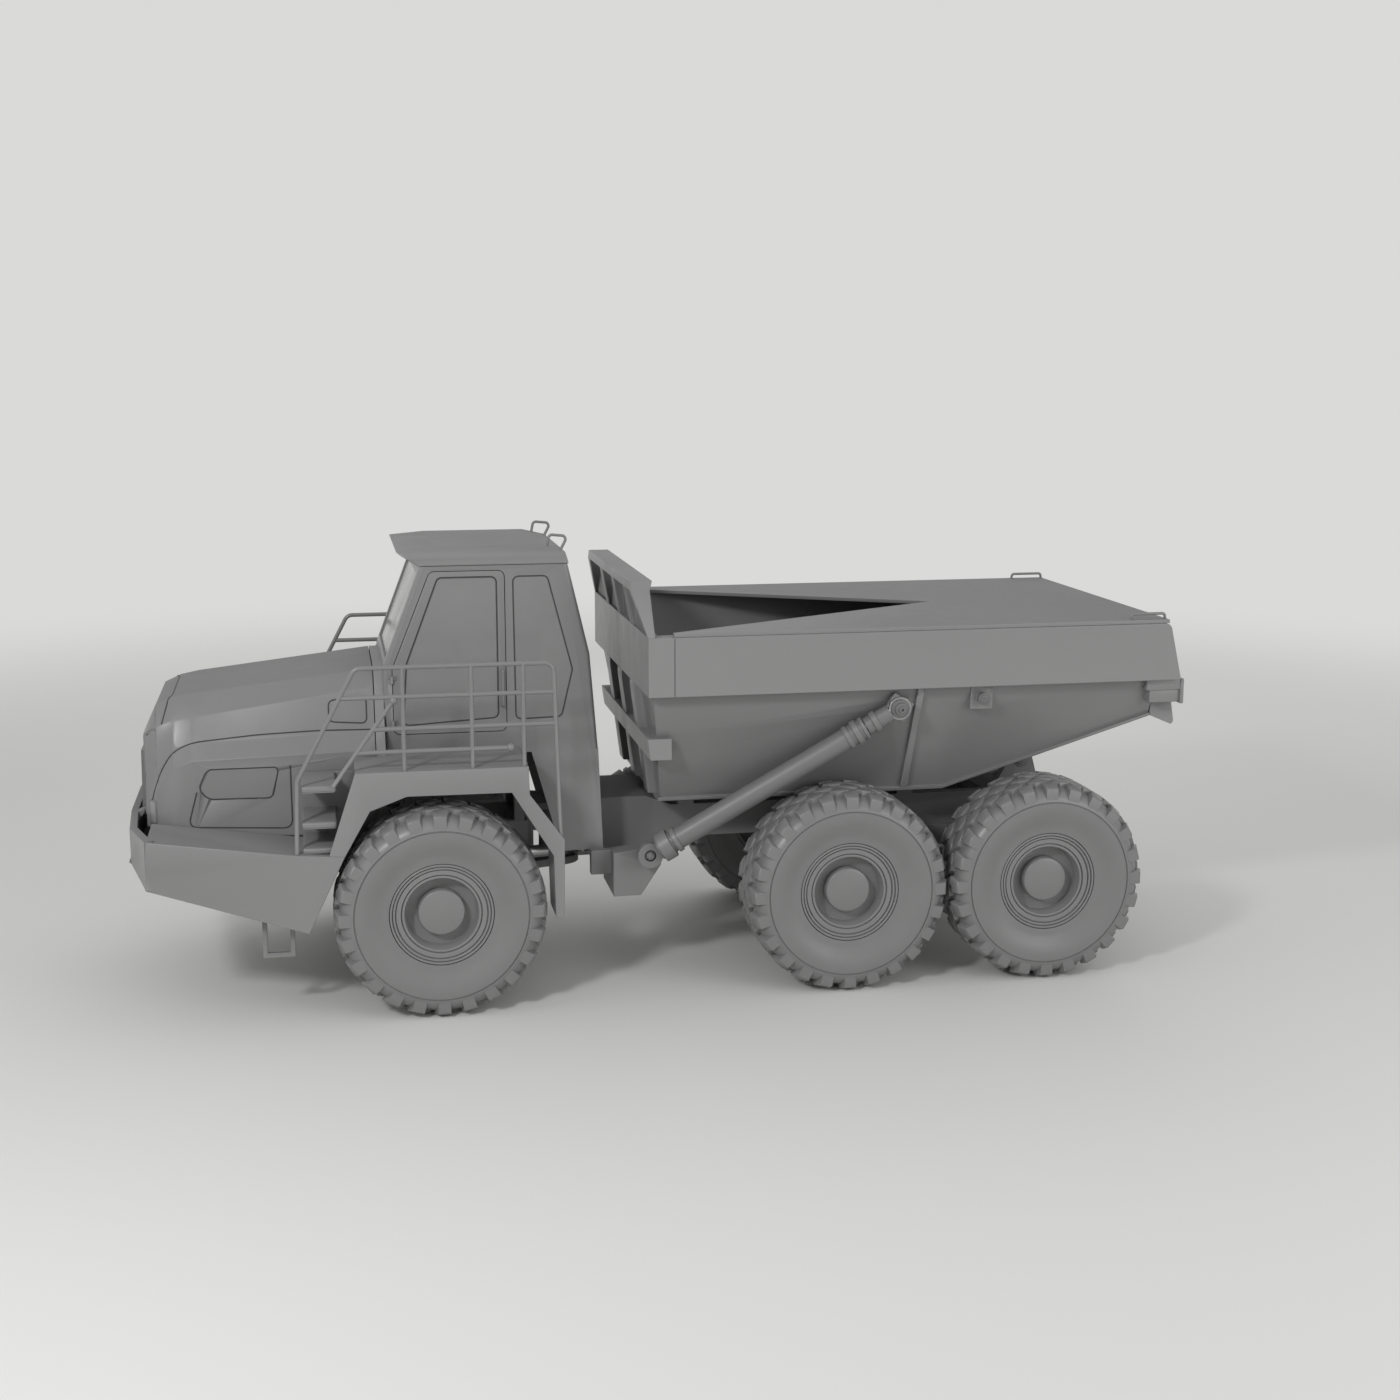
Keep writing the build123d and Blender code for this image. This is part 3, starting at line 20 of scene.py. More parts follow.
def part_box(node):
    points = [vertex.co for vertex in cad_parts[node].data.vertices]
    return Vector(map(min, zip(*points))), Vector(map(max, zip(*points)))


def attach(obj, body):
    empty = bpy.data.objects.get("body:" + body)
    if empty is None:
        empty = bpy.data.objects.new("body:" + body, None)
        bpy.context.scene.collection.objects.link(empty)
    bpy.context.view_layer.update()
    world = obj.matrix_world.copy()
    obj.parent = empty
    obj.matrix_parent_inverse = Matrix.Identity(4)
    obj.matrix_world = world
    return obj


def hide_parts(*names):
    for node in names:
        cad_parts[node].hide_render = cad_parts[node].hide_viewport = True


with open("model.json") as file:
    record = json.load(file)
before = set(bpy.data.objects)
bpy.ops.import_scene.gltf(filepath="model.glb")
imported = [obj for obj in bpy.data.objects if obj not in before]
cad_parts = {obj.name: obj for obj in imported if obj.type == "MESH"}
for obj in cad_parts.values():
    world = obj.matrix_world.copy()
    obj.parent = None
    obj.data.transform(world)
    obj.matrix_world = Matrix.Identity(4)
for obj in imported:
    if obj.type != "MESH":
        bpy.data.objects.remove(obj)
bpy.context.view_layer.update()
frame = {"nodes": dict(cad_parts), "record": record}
record = frame["record"]
body_of = {node: body for body, nodes in record["behaviour"]["bodies"].items() for node in nodes}
slot_of = {part["node"]: part["material_slot"] for part in record["subparts"]}
MM = 0.001

# %% [markdown]
# ## Colours and nodes
#
# Colours are written the way a paint chart or a colour picker shows them, in sRGB hex. Blender
# counts light in linear values, so one function turns one into the other. A second function adds
# a shader node: it sets what it is given, and links whatever is a socket. The others add what
# most finishes share: a mix of two tones, a noise, a range and a bump.

# %% Colour and node helpers
def colour(chart):
    """A hex colour from a paint chart, as the linear values that Blender works in."""
    values = [int(chart[place:place + 2], 16) / 255 for place in (1, 3, 5)]
    # the sRGB curve: a straight foot, then a power
    linear = [v / 12.92 if v <= 0.04045 else ((v + 0.055) / 1.055) ** 2.4 for v in values]
    return (*linear, 1.0)


def add_node(tree, kind, inputs=None, **settings):
    """Add a shader node, set its settings, and set or link its inputs by name or number."""
    node = tree.nodes.new(kind)
    for name, value in settings.items():
        setattr(node, name, value)
    for name, value in (inputs or {}).items():
        if isinstance(value, bpy.types.NodeSocket):
            tree.links.new(value, node.inputs[name])
        else:
            node.inputs[name].default_value = value
    return node


def mixed(tree, factor, first, second):
    """Mix two colours, each a value or a socket, and give the socket of the result."""
    # sockets 6 and 7 are the node's two colours
    node = add_node(tree, "ShaderNodeMix", {0: factor, 6: first, 7: second}, data_type="RGBA")
    return node.outputs[2]


def noise(tree, place, scale, detail):
    """The grey values of a noise texture, as a socket."""
    inputs = {"Vector": place, "Scale": scale, "Detail": detail}
    return add_node(tree, "ShaderNodeTexNoise", inputs).outputs["Fac"]


def ranged(tree, value, low, high, to_low=0.0, to_high=1.0, **settings):
    """A value that runs from low to high, carried over to another range."""
    limits = {"From Min": low, "From Max": high, "To Min": to_low, "To Max": to_high}
    node = add_node(tree, "ShaderNodeMapRange", {"Value": value, **limits}, **settings)
    return node.outputs["Result"]


def bumped(tree, shader, height, strength, distance=0.002):
    """Give a shader a relief from a height's socket."""
    inputs = {"Height": height, "Strength": strength, "Distance": distance}
    bump = add_node(tree, "ShaderNodeBump", inputs)
    tree.links.new(bump.outputs["Normal"], shader.inputs["Normal"])


def start_material(name):
    """A new material with a Principled shader, its tree and the Object coordinates."""
    material = bpy.data.materials.new(name)
    material.use_nodes = True
    tree = material.node_tree
    shader = tree.nodes["Principled BSDF"]
    place = add_node(tree, "ShaderNodeTexCoord").outputs["Object"]
    return material, tree, shader, place


# %% [markdown]
# ## Sprayed enamel
#
# The truck's panels are steel plate under a satin enamel. Seen close, sprayed enamel has a faint
# orange peel a few millimetres across, its tone drifts a little from panel to panel, and dust
# dulls the faces that look up. Corners rub paler. The tone comes from slow noise, the peel from
# fine noise in a Bump node, and the rubbed corners from the Geometry node's Pointiness, which
# Cycles reads from the shape itself.

# %% Enamel finishes
def enamel(name, chart, rubbed, dusty, roughness, peel_mm=4.0):
    """Satin enamel on steel: a drifting tone, rubbed corners, dust on top and orange peel."""
    material, tree, shader, place = start_material(name)
    tone = mixed(tree, noise(tree, place, 0.9, 5.0), colour(chart), colour(dusty))
    corners = add_node(tree, "ShaderNodeNewGeometry").outputs["Pointiness"]
    worn = mixed(tree, ranged(tree, corners, 0.53, 0.62), tone, colour(rubbed))
    tree.links.new(worn, shader.inputs["Base Color"])
    bumped(tree, shader, noise(tree, place, 1000 / peel_mm, 2.0), 0.05)
    scuffs = noise(tree, place, 6.0, 6.0)
    dull = ranged(tree, scuffs, 0.3, 0.7, roughness - 0.03, roughness + 0.04)
    # dust lies on the faces that look up, so they are more matt than the sides
    facing = add_node(tree, "ShaderNodeTexCoord").outputs["Normal"]
    upward = add_node(tree, "ShaderNodeSeparateXYZ", {0: facing}).outputs["Z"]
    dust = ranged(tree, upward, 0.70, 0.97, 0.0, 0.5)
    matt = add_node(tree, "ShaderNodeMath", {0: dull, 1: dust}, operation="ADD")
    tree.links.new(matt.outputs["Value"], shader.inputs["Roughness"])
    return material


panel_enamel = enamel("satin grey panel enamel", "#7e7e7e", "#929292", "#787878", 0.31)
chassis_enamel = enamel(
    "chassis enamel, brushed on thick", "#767676", "#888888", "#6e6e6e", 0.44, 7.0
)
wheel_enamel = enamel("wheel enamel", "#808080", "#929292", "#7a7a7a", 0.34)
casting_paint = enamel("painted casting skin", "#727272", "#848484", "#6a6a6a", 0.5, 9.0)


# %% [markdown]
# ## Rubber, steel, plastic, cloth and glass
#
# Tread rubber is matt and a little chalky, with a fine grain from its mould. A hydraulic rod is
# ground steel, so it shines in a tight band. Moulded trim has a leather-like grain of under two
# millimetres, seat cloth is coarser and matt, and the panes are smoked so that only a hint of the
# cab shows through them.

# %% Other finishes
def grained(name, chart, other, roughness, grain_mm, strength, metallic=0.0):
    """A surface with two near tones and one fine grain in its bump."""
    material, tree, shader, place = start_material(name)
    tone = mixed(tree, noise(tree, place, 3.0, 6.0), colour(chart), colour(other))
    tree.links.new(tone, shader.inputs["Base Color"])
    bumped(tree, shader, noise(tree, place, 1000 / grain_mm, 3.0), strength)
    shader.inputs["Roughness"].default_value = roughness
    shader.inputs["Metallic"].default_value = metallic
    return material


tread_rubber = grained("chalky tread rubber", "#767676", "#7e7e7e", 0.36, 5.0, 0.08)
ground_steel = grained("ground cylinder steel", "#a4a4a4", "#9a9a9a", 0.3, 1.5, 0.04, metallic=0.85)
moulded_trim = grained("moulded trim plastic", "#6e6e6e", "#767676", 0.5, 1.6, 0.2)
seat_twill = grained("woven seat cloth", "#686868", "#5c5c5c", 0.85, 2.0, 0.5)
# dark rubber for the window seals, and the same dark strips laid as painted shade in the hood's
# seams and the rail joints
seal_rubber_and_painted_shade = grained("extruded seal rubber and painted shade", "#3c3c3c", "#343434", 0.65, 2.0, 0.1)

pane_glass, pane_tree, pane_shader, pane_place = start_material("smoked safety glass")
film = noise(pane_tree, pane_place, 2.2, 7.0)
pane_tone = mixed(pane_tree, film, colour("#868686"), colour("#929292"))
pane_tree.links.new(pane_tone, pane_shader.inputs["Base Color"])
dust_film = ranged(pane_tree, film, 0.3, 0.7, 0.12, 0.26)
pane_tree.links.new(dust_film, pane_shader.inputs["Roughness"])
pane_shader.inputs["IOR"].default_value = 1.52
pane_shader.inputs["Transmission Weight"].default_value = 0.2

# %% Ribbed finishes
# bands of a wave texture stand this far apart at a scale of one
WAVE_PERIOD = 0.314


def ribbed(tree, shader, place, spacing, strength, distance):
    """Draw ribs across Y in a surface's relief."""
    inputs = {"Vector": place, "Scale": WAVE_PERIOD / spacing}
    ribs = add_node(tree, "ShaderNodeTexWave", inputs, bands_direction="Y")
    bumped(tree, shader, ribs.outputs["Fac"], strength, distance)


# lamp covers are moulded acrylic with a ribbed back that scatters the light
lamp_lens, lens_tree, lens_shader, lens_place = start_material("ribbed acrylic lamp cover")
lens_shader.inputs["Base Color"].default_value = colour("#8e8e8e")
lens_shader.inputs["Roughness"].default_value = 0.12
lens_shader.inputs["IOR"].default_value = 1.49
ribbed(lens_tree, lens_shader, lens_place, 0.012, 0.25, 0.002)

# radiator fins are thin aluminium, painted dark, drawn 14 mm apart so that they show
radiator_fins, fin_tree, fin_shader, fin_place = start_material("painted radiator fins")
fin_shader.inputs["Base Color"].default_value = colour("#4c4c4c")
fin_shader.inputs["Roughness"].default_value = 0.6
ribbed(fin_tree, fin_shader, fin_place, 0.014, 0.6, 0.005)
print("materials", len(bpy.data.materials))

# %% Finishes of the solids
finish_of_slot = {
    "paint": panel_enamel,
    "frame_paint": chassis_enamel,
    "machined": ground_steel,
    "tyre_rubber": tread_rubber,
    "rim_paint": wheel_enamel,
    "cast": casting_paint,
    "trim": moulded_trim,
    "seat_cloth": seat_twill,
    "glass": pane_glass,
}
# the hoist barrels are painted, though the frame's record gives them the rods' slot
slot_of.update(hoist_barrel_left="frame_paint", hoist_barrel_right="frame_paint")
for node, solid in frame["nodes"].items():
    solid.data.materials.clear()
    solid.data.materials.append(finish_of_slot[slot_of[node]])
print("finished solids", len(frame["nodes"]))


# %% [markdown]
# ## Soft edges on plate
#
# A welded or pressed plate never has a knife edge: its corners are ground or rolled to a few
# millimetres, and that thin band catches the light along every edge. The frame's solids are made
# of loose triangles, so a copy is merged, its flat faces are joined up, and every edge sharper
# than thirty degrees is marked for a Bevel modifier. Bent tubes that are part of a panel keep
# their own round shape, so edges beyond a given height or width are left as they are. The copy
# then stands for the solid.

# %% Pieces and their bodies
def place_piece(piece, body, slot, finish, *replaced):
    """Give a piece its finish and its body, and hide the solids that it stands for. The slot is not
    used.
    """
    piece.data.materials.clear()
    piece.data.materials.append(finish)
    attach(piece, body)
    if replaced:
        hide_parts(*replaced)
    return piece


def mesh_of(name, form):
    """Turn a bmesh into a mesh, and free it."""
    mesh = bpy.data.meshes.new(name)
    form.to_mesh(mesh)
    form.free()
    return mesh


def joined(target, form):
    """Add one bmesh to another, and free it."""
    mesh = mesh_of("part", form)
    target.from_mesh(mesh)
    bpy.data.meshes.remove(mesh)


def linked(name, data):
    """A new object in the scene, at the origin."""
    item = bpy.data.objects.new(name, data)
    bpy.context.scene.collection.objects.link(item)
    return item


def mesh_piece(name, form, body, slot, finish, *replaced, smooth=35):
    """Turn a bmesh into a piece that rides on a body."""
    mesh = mesh_of(name, form)
    piece = linked(name, mesh)
    mesh.shade_smooth()
    mesh.set_sharp_from_angle(angle=radians(smooth))
    return place_piece(piece, body, slot, finish, *replaced)


# %% Soft edges
sharp_angle = radians(30)
# edges shorter than this share of the bevel's width stay sharp
short_share = 0.6
# loose corners closer than this are one corner
weld_reach = 0.02 * MM
# faces within this many degrees are joined up, and fewer on the hood, where every face is bent
flat_within = {"hood": 0.1}


def merged_copy(node):
    """A bmesh of a solid with its loose triangles merged and its flat faces joined up."""
    form = bmesh.new()
    form.from_mesh(frame["nodes"][node].data)
    bmesh.ops.remove_doubles(form, verts=form.verts, dist=weld_reach)
    bmesh.ops.dissolve_limit(
        form,
        angle_limit=radians(flat_within.get(node, 1.0)),
        verts=form.verts,
        edges=form.edges,
        use_dissolve_boundaries=False,
    )
    return form


def soft_edges(piece, width, limit="ANGLE"):
    """Round the sharp or marked edges of a piece with two small facets."""
    bevel = piece.modifiers.new("soft edges", "BEVEL")
    bevel.width = width
    bevel.segments = 2
    bevel.limit_method = limit
    bevel.angle_limit = sharp_angle
    bevel.use_clamp_overlap = limit == "ANGLE"
    bevel.harden_normals = True
    return piece


def softened(node, width, axis, reach):
    """A copy of a solid with soft edges, apart from what lies beyond a reach along an axis."""
    form = merged_copy(node)
    marks = form.edges.layers.float.new("bevel_weight_edge")
    for edge in form.edges:
        sharp = len(edge.link_faces) == 2 and edge.calc_face_angle(0.0) > sharp_angle
        beyond = any(abs(vert.co[axis]) > reach for vert in edge.verts)
        short = edge.calc_length() < short_share * width
        edge[marks] = 0.0 if beyond or short or not sharp else 1.0
    slot = slot_of[node]
    piece = mesh_piece(f"{node}_plate", form, body_of[node], slot, finish_of_slot[slot], node)
    soft_edges(piece, width, "WEIGHT")
    piece.modifiers["soft edges"].use_clamp_overlap = node in thin_strips
    return piece


# %% Copies of solids with soft edges
ALL = 100.0
X, Y, Z = 0, 1, 2
# solids with strips so thin that their soft edges are held back where they would cross
thin_strips = ("cab_shell",)
# softened solids: edge radius in millimetres, then the axis and the reach, in metres, of its tubes
soft_radius = {
    "front_bumper": (6, X, ALL),
    "fenders": (4, X, ALL),
    "cab_shell": (2.5, Y, 0.8005),
    "cab_roof": (12, Z, 3.822),
    "hood": (7, X, 4.43),
    "grille": (2, X, ALL),
    "door_left": (4, Y, 0.8005),
    "door_right": (4, Y, 0.8005),
    "body_shell": (6, X, ALL),
    "body_rails": (7, X, ALL),
    "body_cover": (4, Z, 3.1505),
    "headboard": (7, X, ALL),
    "front_frame": (5, X, ALL),
    "steer_brackets": (4, X, ALL),
    "rear_frame": (5, X, ALL),
    "bogie_beams": (8, X, ALL),
    "hitch_block": (5, X, ALL),
    "hoist_arms": (6, X, ALL),
    "hoist_barrel_left": (4, X, ALL),
    "hoist_barrel_right": (4, X, ALL),
    "hoist_rod_left": (3, X, ALL),
    "hoist_rod_right": (3, X, ALL),
    "engine": (10, X, ALL),
    "seat": (20, X, ALL),
    "console": (8, X, ALL),
}
plates = {
    node: softened(node, width * MM, axis, reach)
    for node, (width, axis, reach) in soft_radius.items()
}
print("softened", len(plates))


# %% [markdown]
# ## Tyres
#
# An earthmover tyre carries thick shoulder lugs and staggered hexagonal blocks across its tread.
# The carcass is one profile spun round the axle. A lug and a block are made once each, bent to
# the tread's curve, and spun round as copies. The two shoulders' rows are half a pitch apart, and
# the lugs are as many as the solids have.

# %% Tyre sizes
wheel_rows = ("front", "mid", "rear")
wheel_sides = (("left", 1), ("right", -1))
tyre_low, tyre_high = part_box("tyre_front_left")
rim_low, rim_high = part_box("rim_front_left")
tyre_radius = (tyre_high.z - tyre_low.z) / 2
tyre_half = (tyre_high.y - tyre_low.y) / 2
bead_radius = (rim_high.z - rim_low.z) / 2 + 0.001
lug_count = 24
lug_pitch = 2 * pi / lug_count
lug_depth = 0.044
tread_base = tyre_radius - lug_depth
print("tyre radius", tyre_radius, "half width", tyre_half, "bead", bead_radius)


# %% Tyre carcass, lugs and blocks
def spin_ring(form, profile, closed=True, steps=96):
    """Spin a profile of (axle place, radius) points round the Y axis."""
    corners = [form.verts.new((0.0, y, r)) for y, r in profile]
    ends = corners[1:] + corners[:1] if closed else corners[1:]
    edges = [form.edges.new(pair) for pair in zip(corners, ends)]
    bmesh.ops.spin(
        form,
        geom=corners + edges,
        cent=(0, 0, 0),
        axis=(0, 1, 0),
        angle=2 * pi,
        steps=steps,
        use_merge=True,
    )
    bmesh.ops.remove_doubles(form, verts=form.verts, dist=0.05 * MM)
    bmesh.ops.recalc_face_normals(form, faces=form.faces)


def curved_block(outline, root, depth, top_scale, edge):
    """A block on an outline of (round, across) points, narrower at its top, with soft edges."""
    form = bmesh.new()
    face = form.faces.new([form.verts.new((x, y, root)) for x, y in outline])
    made = bmesh.ops.extrude_face_region(form, geom=[face])
    top = [item for item in made["geom"] if isinstance(item, bmesh.types.BMVert)]
    middle = sum((vert.co for vert in top), Vector()) / len(top)
    for vert in top:
        vert.co.x = middle.x + (vert.co.x - middle.x) * top_scale
        vert.co.y = middle.y + (vert.co.y - middle.y) * top_scale
        vert.co.z = depth
    bmesh.ops.recalc_face_normals(form, faces=form.faces)
    # an edge of the top has both its ends there
    rim = [item for item in form.edges if sum(vert.co.z for vert in item.verts) > depth * 1.9]
    bmesh.ops.bevel(
        form,
        geom=rim,
        offset=edge,
        offset_type="OFFSET",
        segments=2,
        profile=0.5,
        affect="EDGES",
        material=-1,
    )
    return form


def wrapped(form):
    """Bend a flat block round the axle, and drop it over the shoulder's curve."""
    for vert in form.verts:
        x, y, z = vert.co
        reach = tread_base + z - shoulder_drop(abs(y))
        vert.co = Vector((reach * sin(x / tread_base), y, reach * cos(x / tread_base)))


# the crown is flat over this share of half the width, and falls away past it
crown_share = 0.66


def shoulder_drop(y):
    """How far the tread falls away from its crown at a place across the tyre."""
    past = max(0.0, y - crown_share * tyre_half)
    return 0.12 * past + 2.4 * past * past


def repeat_round(target, form, count, start):
    """Copy a block round the axle into the tyre."""
    turn = Matrix.Rotation(start, 4, "Y")
    bmesh.ops.transform(form, matrix=turn, verts=form.verts)
    first = len(target.verts)
    joined(target, form)
    target.verts.ensure_lookup_table()
    verts = target.verts[first:]
    faces = list({face for vert in verts for face in vert.link_faces})
    edges = list({edge for vert in verts for edge in vert.link_edges})
    bmesh.ops.spin(
        target,
        geom=verts + edges + faces,
        cent=(0, 0, 0),
        axis=(0, 1, 0),
        angle=2 * pi * (count - 1) / count,
        steps=count - 1,
        use_duplicate=True,
    )


# %% One tyre
def tyre_form():
    """One whole tyre round the origin, with its outer side towards +Y."""
    form = bmesh.new()
    half = tyre_half
    # sidewall from the bead to the crown: place across as a share of half the width, radius
    side = [
        (0.74, bead_radius),
        (0.825, bead_radius + 0.004),
        (0.835, bead_radius + 0.022),
        (0.84, bead_radius + 0.050),
        (0.865, bead_radius + 0.085),
        (0.92, 0.565),
        (0.975, 0.620),
        (0.995, 0.670),
        (0.994, 0.711),
        (0.965, 0.714),
        (0.965, 0.721),
        (0.994, 0.724),
        (0.985, 0.742),
        (0.950, 0.766),
        (0.90, 0.790),
        (0.80, tread_base - 0.016),
        (0.62, tread_base),
        (0.25, tread_base),
    ]
    profile = [(share * half, r) for share, r in side]
    spin_ring(form, profile + [(-y, r) for y, r in reversed(profile)])
    pitch = lug_pitch * tread_base
    for sign, shift in ((1, 0.0), (-1, lug_pitch / 2)):
        inner, outer = 0.61 * half, 0.985 * half
        lug_outline = [
            (-0.38 * pitch, sign * inner),
            (0.22 * pitch, sign * inner),
            (0.30 * pitch, sign * (inner + 0.3 * (outer - inner))),
            (0.26 * pitch, sign * outer),
            (-0.26 * pitch, sign * outer),
        ]
        lug = curved_block(lug_outline[::sign], -0.050, lug_depth, 0.93, 0.010)
        wrapped(lug)
        repeat_round(form, lug, lug_count, shift)
    # hexagonal rows: place across, half width across, phase in pitches
    for across, width, phase in ((-0.39, 0.20, 0.25), (0.0, 0.20, 0.75), (0.39, 0.20, 0.25)):
        middle, reach = across * half, width * half
        block_outline = [
            (-0.47 * pitch, middle),
            (-0.24 * pitch, middle - reach),
            (0.24 * pitch, middle - reach),
            (0.47 * pitch, middle),
            (0.24 * pitch, middle + reach),
            (-0.24 * pitch, middle + reach),
        ]
        block = curved_block(block_outline, -0.012, lug_depth, 0.9, 0.009)
        wrapped(block)
        repeat_round(form, block, lug_count, phase * lug_pitch)
    return form


tyre_mesh = mesh_of("tyre", tyre_form())
print("tyre triangles", sum(len(face.vertices) - 2 for face in tyre_mesh.polygons))


# %% Tyres on their axles
def on_axle(mesh, row, side_name, side):
    """A bmesh copy of a wheel part, set on its axle end with its outer side outwards."""
    low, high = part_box(f"tyre_{row}_{side_name}")
    form = bmesh.new()
    form.from_mesh(mesh)
    turn = Matrix.Rotation(0.0 if side > 0 else pi, 4, "Z")
    bmesh.ops.transform(form, matrix=Matrix.Translation((low + high) / 2) @ turn, verts=form.verts)
    return form


for row in wheel_rows:
    for side_name, side in wheel_sides:
        form = on_axle(tyre_mesh, row, side_name, side)
        node = f"tyre_{row}_{side_name}"
        body = body_of[node]
        mesh_piece(f"{node}_tread", form, body, "tyre_rubber", tread_rubber, node, smooth=40)
print("tyres", len(wheel_rows) * len(wheel_sides))


# %% [markdown]
# ## Rims
#
# The rim is a stack of pressed rings: an outer flange that holds the bead, lock rings with deep
# grooves between them, and a dish round a flat hub cap with a rolled edge. One profile, spun, gives
# them all, because every one of them is round, and a Bevel modifier rolls their edges.

# %% Rims on their axles
def rim_form():
    """One rim round the origin, with its outer side towards +Y."""
    bead_place = 0.25
    # rim profile: place along the axle, radius
    profile = [(-bead_place, bead_radius - 0.001), (bead_place, bead_radius - 0.001)]
    # rings: outer radius, inner radius, how far the ring stands out
    rings = (
        (0.428, 0.410, 0.022),
        (0.402, 0.384, 0.015),
        (0.376, 0.336, 0.005),
        (0.328, 0.306, -0.004),
    )
    groove = 0.016
    for outer, inner, stand in rings:
        face = bead_place + stand
        profile += [(face - groove, outer), (face, outer), (face, inner), (face - groove, inner)]
    profile += [
        (0.215, 0.298),
        (0.112, 0.291),
        (0.112, 0.196),
        (0.186, 0.196),
        (0.203, 0.189),
        (0.210, 0.172),
        (0.210, 0.0),
        (0.022, 0.0),
        (0.022, 0.205),
        (-0.125, 0.370),
        (-bead_place, 0.400),
    ]
    form = bmesh.new()
    spin_ring(form, profile)
    return form


rim_mesh = mesh_of("rim", rim_form())
for row in wheel_rows:
    for side_name, side in wheel_sides:
        form = on_axle(rim_mesh, row, side_name, side)
        node = f"rim_{row}_{side_name}"
        piece = mesh_piece(f"{node}_face", form, body_of[node], "rim_paint", wheel_enamel, node)
        soft_edges(piece, 0.005)
print("rims", len(wheel_rows) * len(wheel_sides))


# %% [markdown]
# ## Cab panes and their seals
#
# The cab's panes are bonded from outside, so they lie almost flush with the frame, and only a thin
# rubber seal shows round them. Each pane starts from its own solid. Its outer face is pulled out to
# the frame, and the seal is that face's rim, given a thickness.

# %% Panes and seals
def outer_faces(form, axis):
    """The faces of a form that look outwards along an axis."""
    found = []
    for face in form.faces:
        middle = face.calc_center_median()
        if abs(face.normal[axis]) > 0.8 and face.normal[axis] * middle[axis] > 0:
            found.append(face)
    return found


def flush_panes(node, axis, pull, seal_wide):
    """Panes pulled out to the frame, and the rubber seal round each of them."""
    form = merged_copy(node)
    for face in outer_faces(form, axis):
        bmesh.ops.translate(form, verts=face.verts, vec=face.normal * pull)
    seal = form.copy()
    panes = mesh_piece(f"{node}_pane", form, body_of[node], "glass", pane_glass, node)
    soft_edges(panes, 0.003)
    rims = []
    for face in outer_faces(seal, axis):
        made = bmesh.ops.inset_individual(seal, faces=[face], thickness=seal_wide, depth=0.0)
        rims += made["faces"]
    kept = set(rims)
    bmesh.ops.delete(seal, geom=[face for face in seal.faces if face not in kept], context="FACES")
    bmesh.ops.solidify(seal, geom=list(seal.faces), thickness=-0.004)
    bmesh.ops.recalc_face_normals(seal, faces=seal.faces)
    mesh_piece(f"{node}_seal", seal, body_of[node], "trim", seal_rubber_and_painted_shade)


for node in ("door_glass_left", "door_glass_right", "cab_glass"):
    flush_panes(node, Y, 0.010, 0.012)
print("panes and seals", 3)


# %% [markdown]
# ## Painted shade along the hood's seams
#
# The hood is pressed from several sheets. Its upper sheet hangs over a bulged side panel, a nose
# cap meets the top sheet, and a service door and a vent panel sit in the sides. Along the crease
# under the overhang and along each gap between sheets, a dark rubber strip is laid as painted
# shade. Each strip is a round line, laid on the hood by casting its points against the panel's own
# surface, so it follows every bend.

# %% Strips laid on a surface
# a ray starts this far outside the truck
stand_off = 3.0
# a rounded corner has this many runs
arc_runs = 6


def rounded(points, bend, closed):
    """A route with each of its corners turned into a short arc."""
    route = []
    for place, point in enumerate(points):
        corner = Vector(point)
        if not closed and place in (0, len(points) - 1):
            route.append(corner)
            continue
        before = Vector(points[place - 1]) - corner
        after = Vector(points[(place + 1) % len(points)]) - corner
        reach = min(bend, 0.45 * before.length, 0.45 * after.length)
        start = corner + before.normalized() * reach
        end = corner + after.normalized() * reach
        for step in range(arc_runs + 1):
            share = step / arc_runs
            route.append(start.lerp(corner, share).lerp(corner.lerp(end, share), share))
    return route


def laid(route, surface, sight, closed, step=0.03):
    """Points along a route, dropped onto a surface along a line of sight."""
    ends = route[1:] + route[:1] if closed else route[1:]
    places = []
    for start, end in zip(route, ends):
        runs = max(1, round((end - start).length / step))
        places += [start.lerp(end, run / runs) for run in range(runs)]
    if not closed:
        places.append(route[-1])
    hits = [surface.ray_cast(place - stand_off * sight, sight)[0] for place in places]
    return [hit for hit in hits if hit]


def surface_of(piece):
    """A search tree over a piece's finished surface."""
    return BVHTree.FromObject(piece, bpy.context.evaluated_depsgraph_get())


def round_strips(name, routes, radius, body, slot, finish):
    """Round lines along routes, as one piece: each route is its points and whether it closes."""
    curve = bpy.data.curves.new(name, "CURVE")
    curve.dimensions = "3D"
    curve.bevel_depth = radius
    curve.bevel_resolution = 1
    curve.use_fill_caps = True
    for points, closed in routes:
        spline = curve.splines.new("POLY")
        spline.points.add(len(points) - 1)
        spline.use_cyclic_u = closed
        for place, point in zip(spline.points, points):
            place.co = (*point, 1.0)
    return place_piece(linked(name, curve), body, slot, finish)


# %% Painted shade along the hood seams
hood_surface = surface_of(plates["hood"])
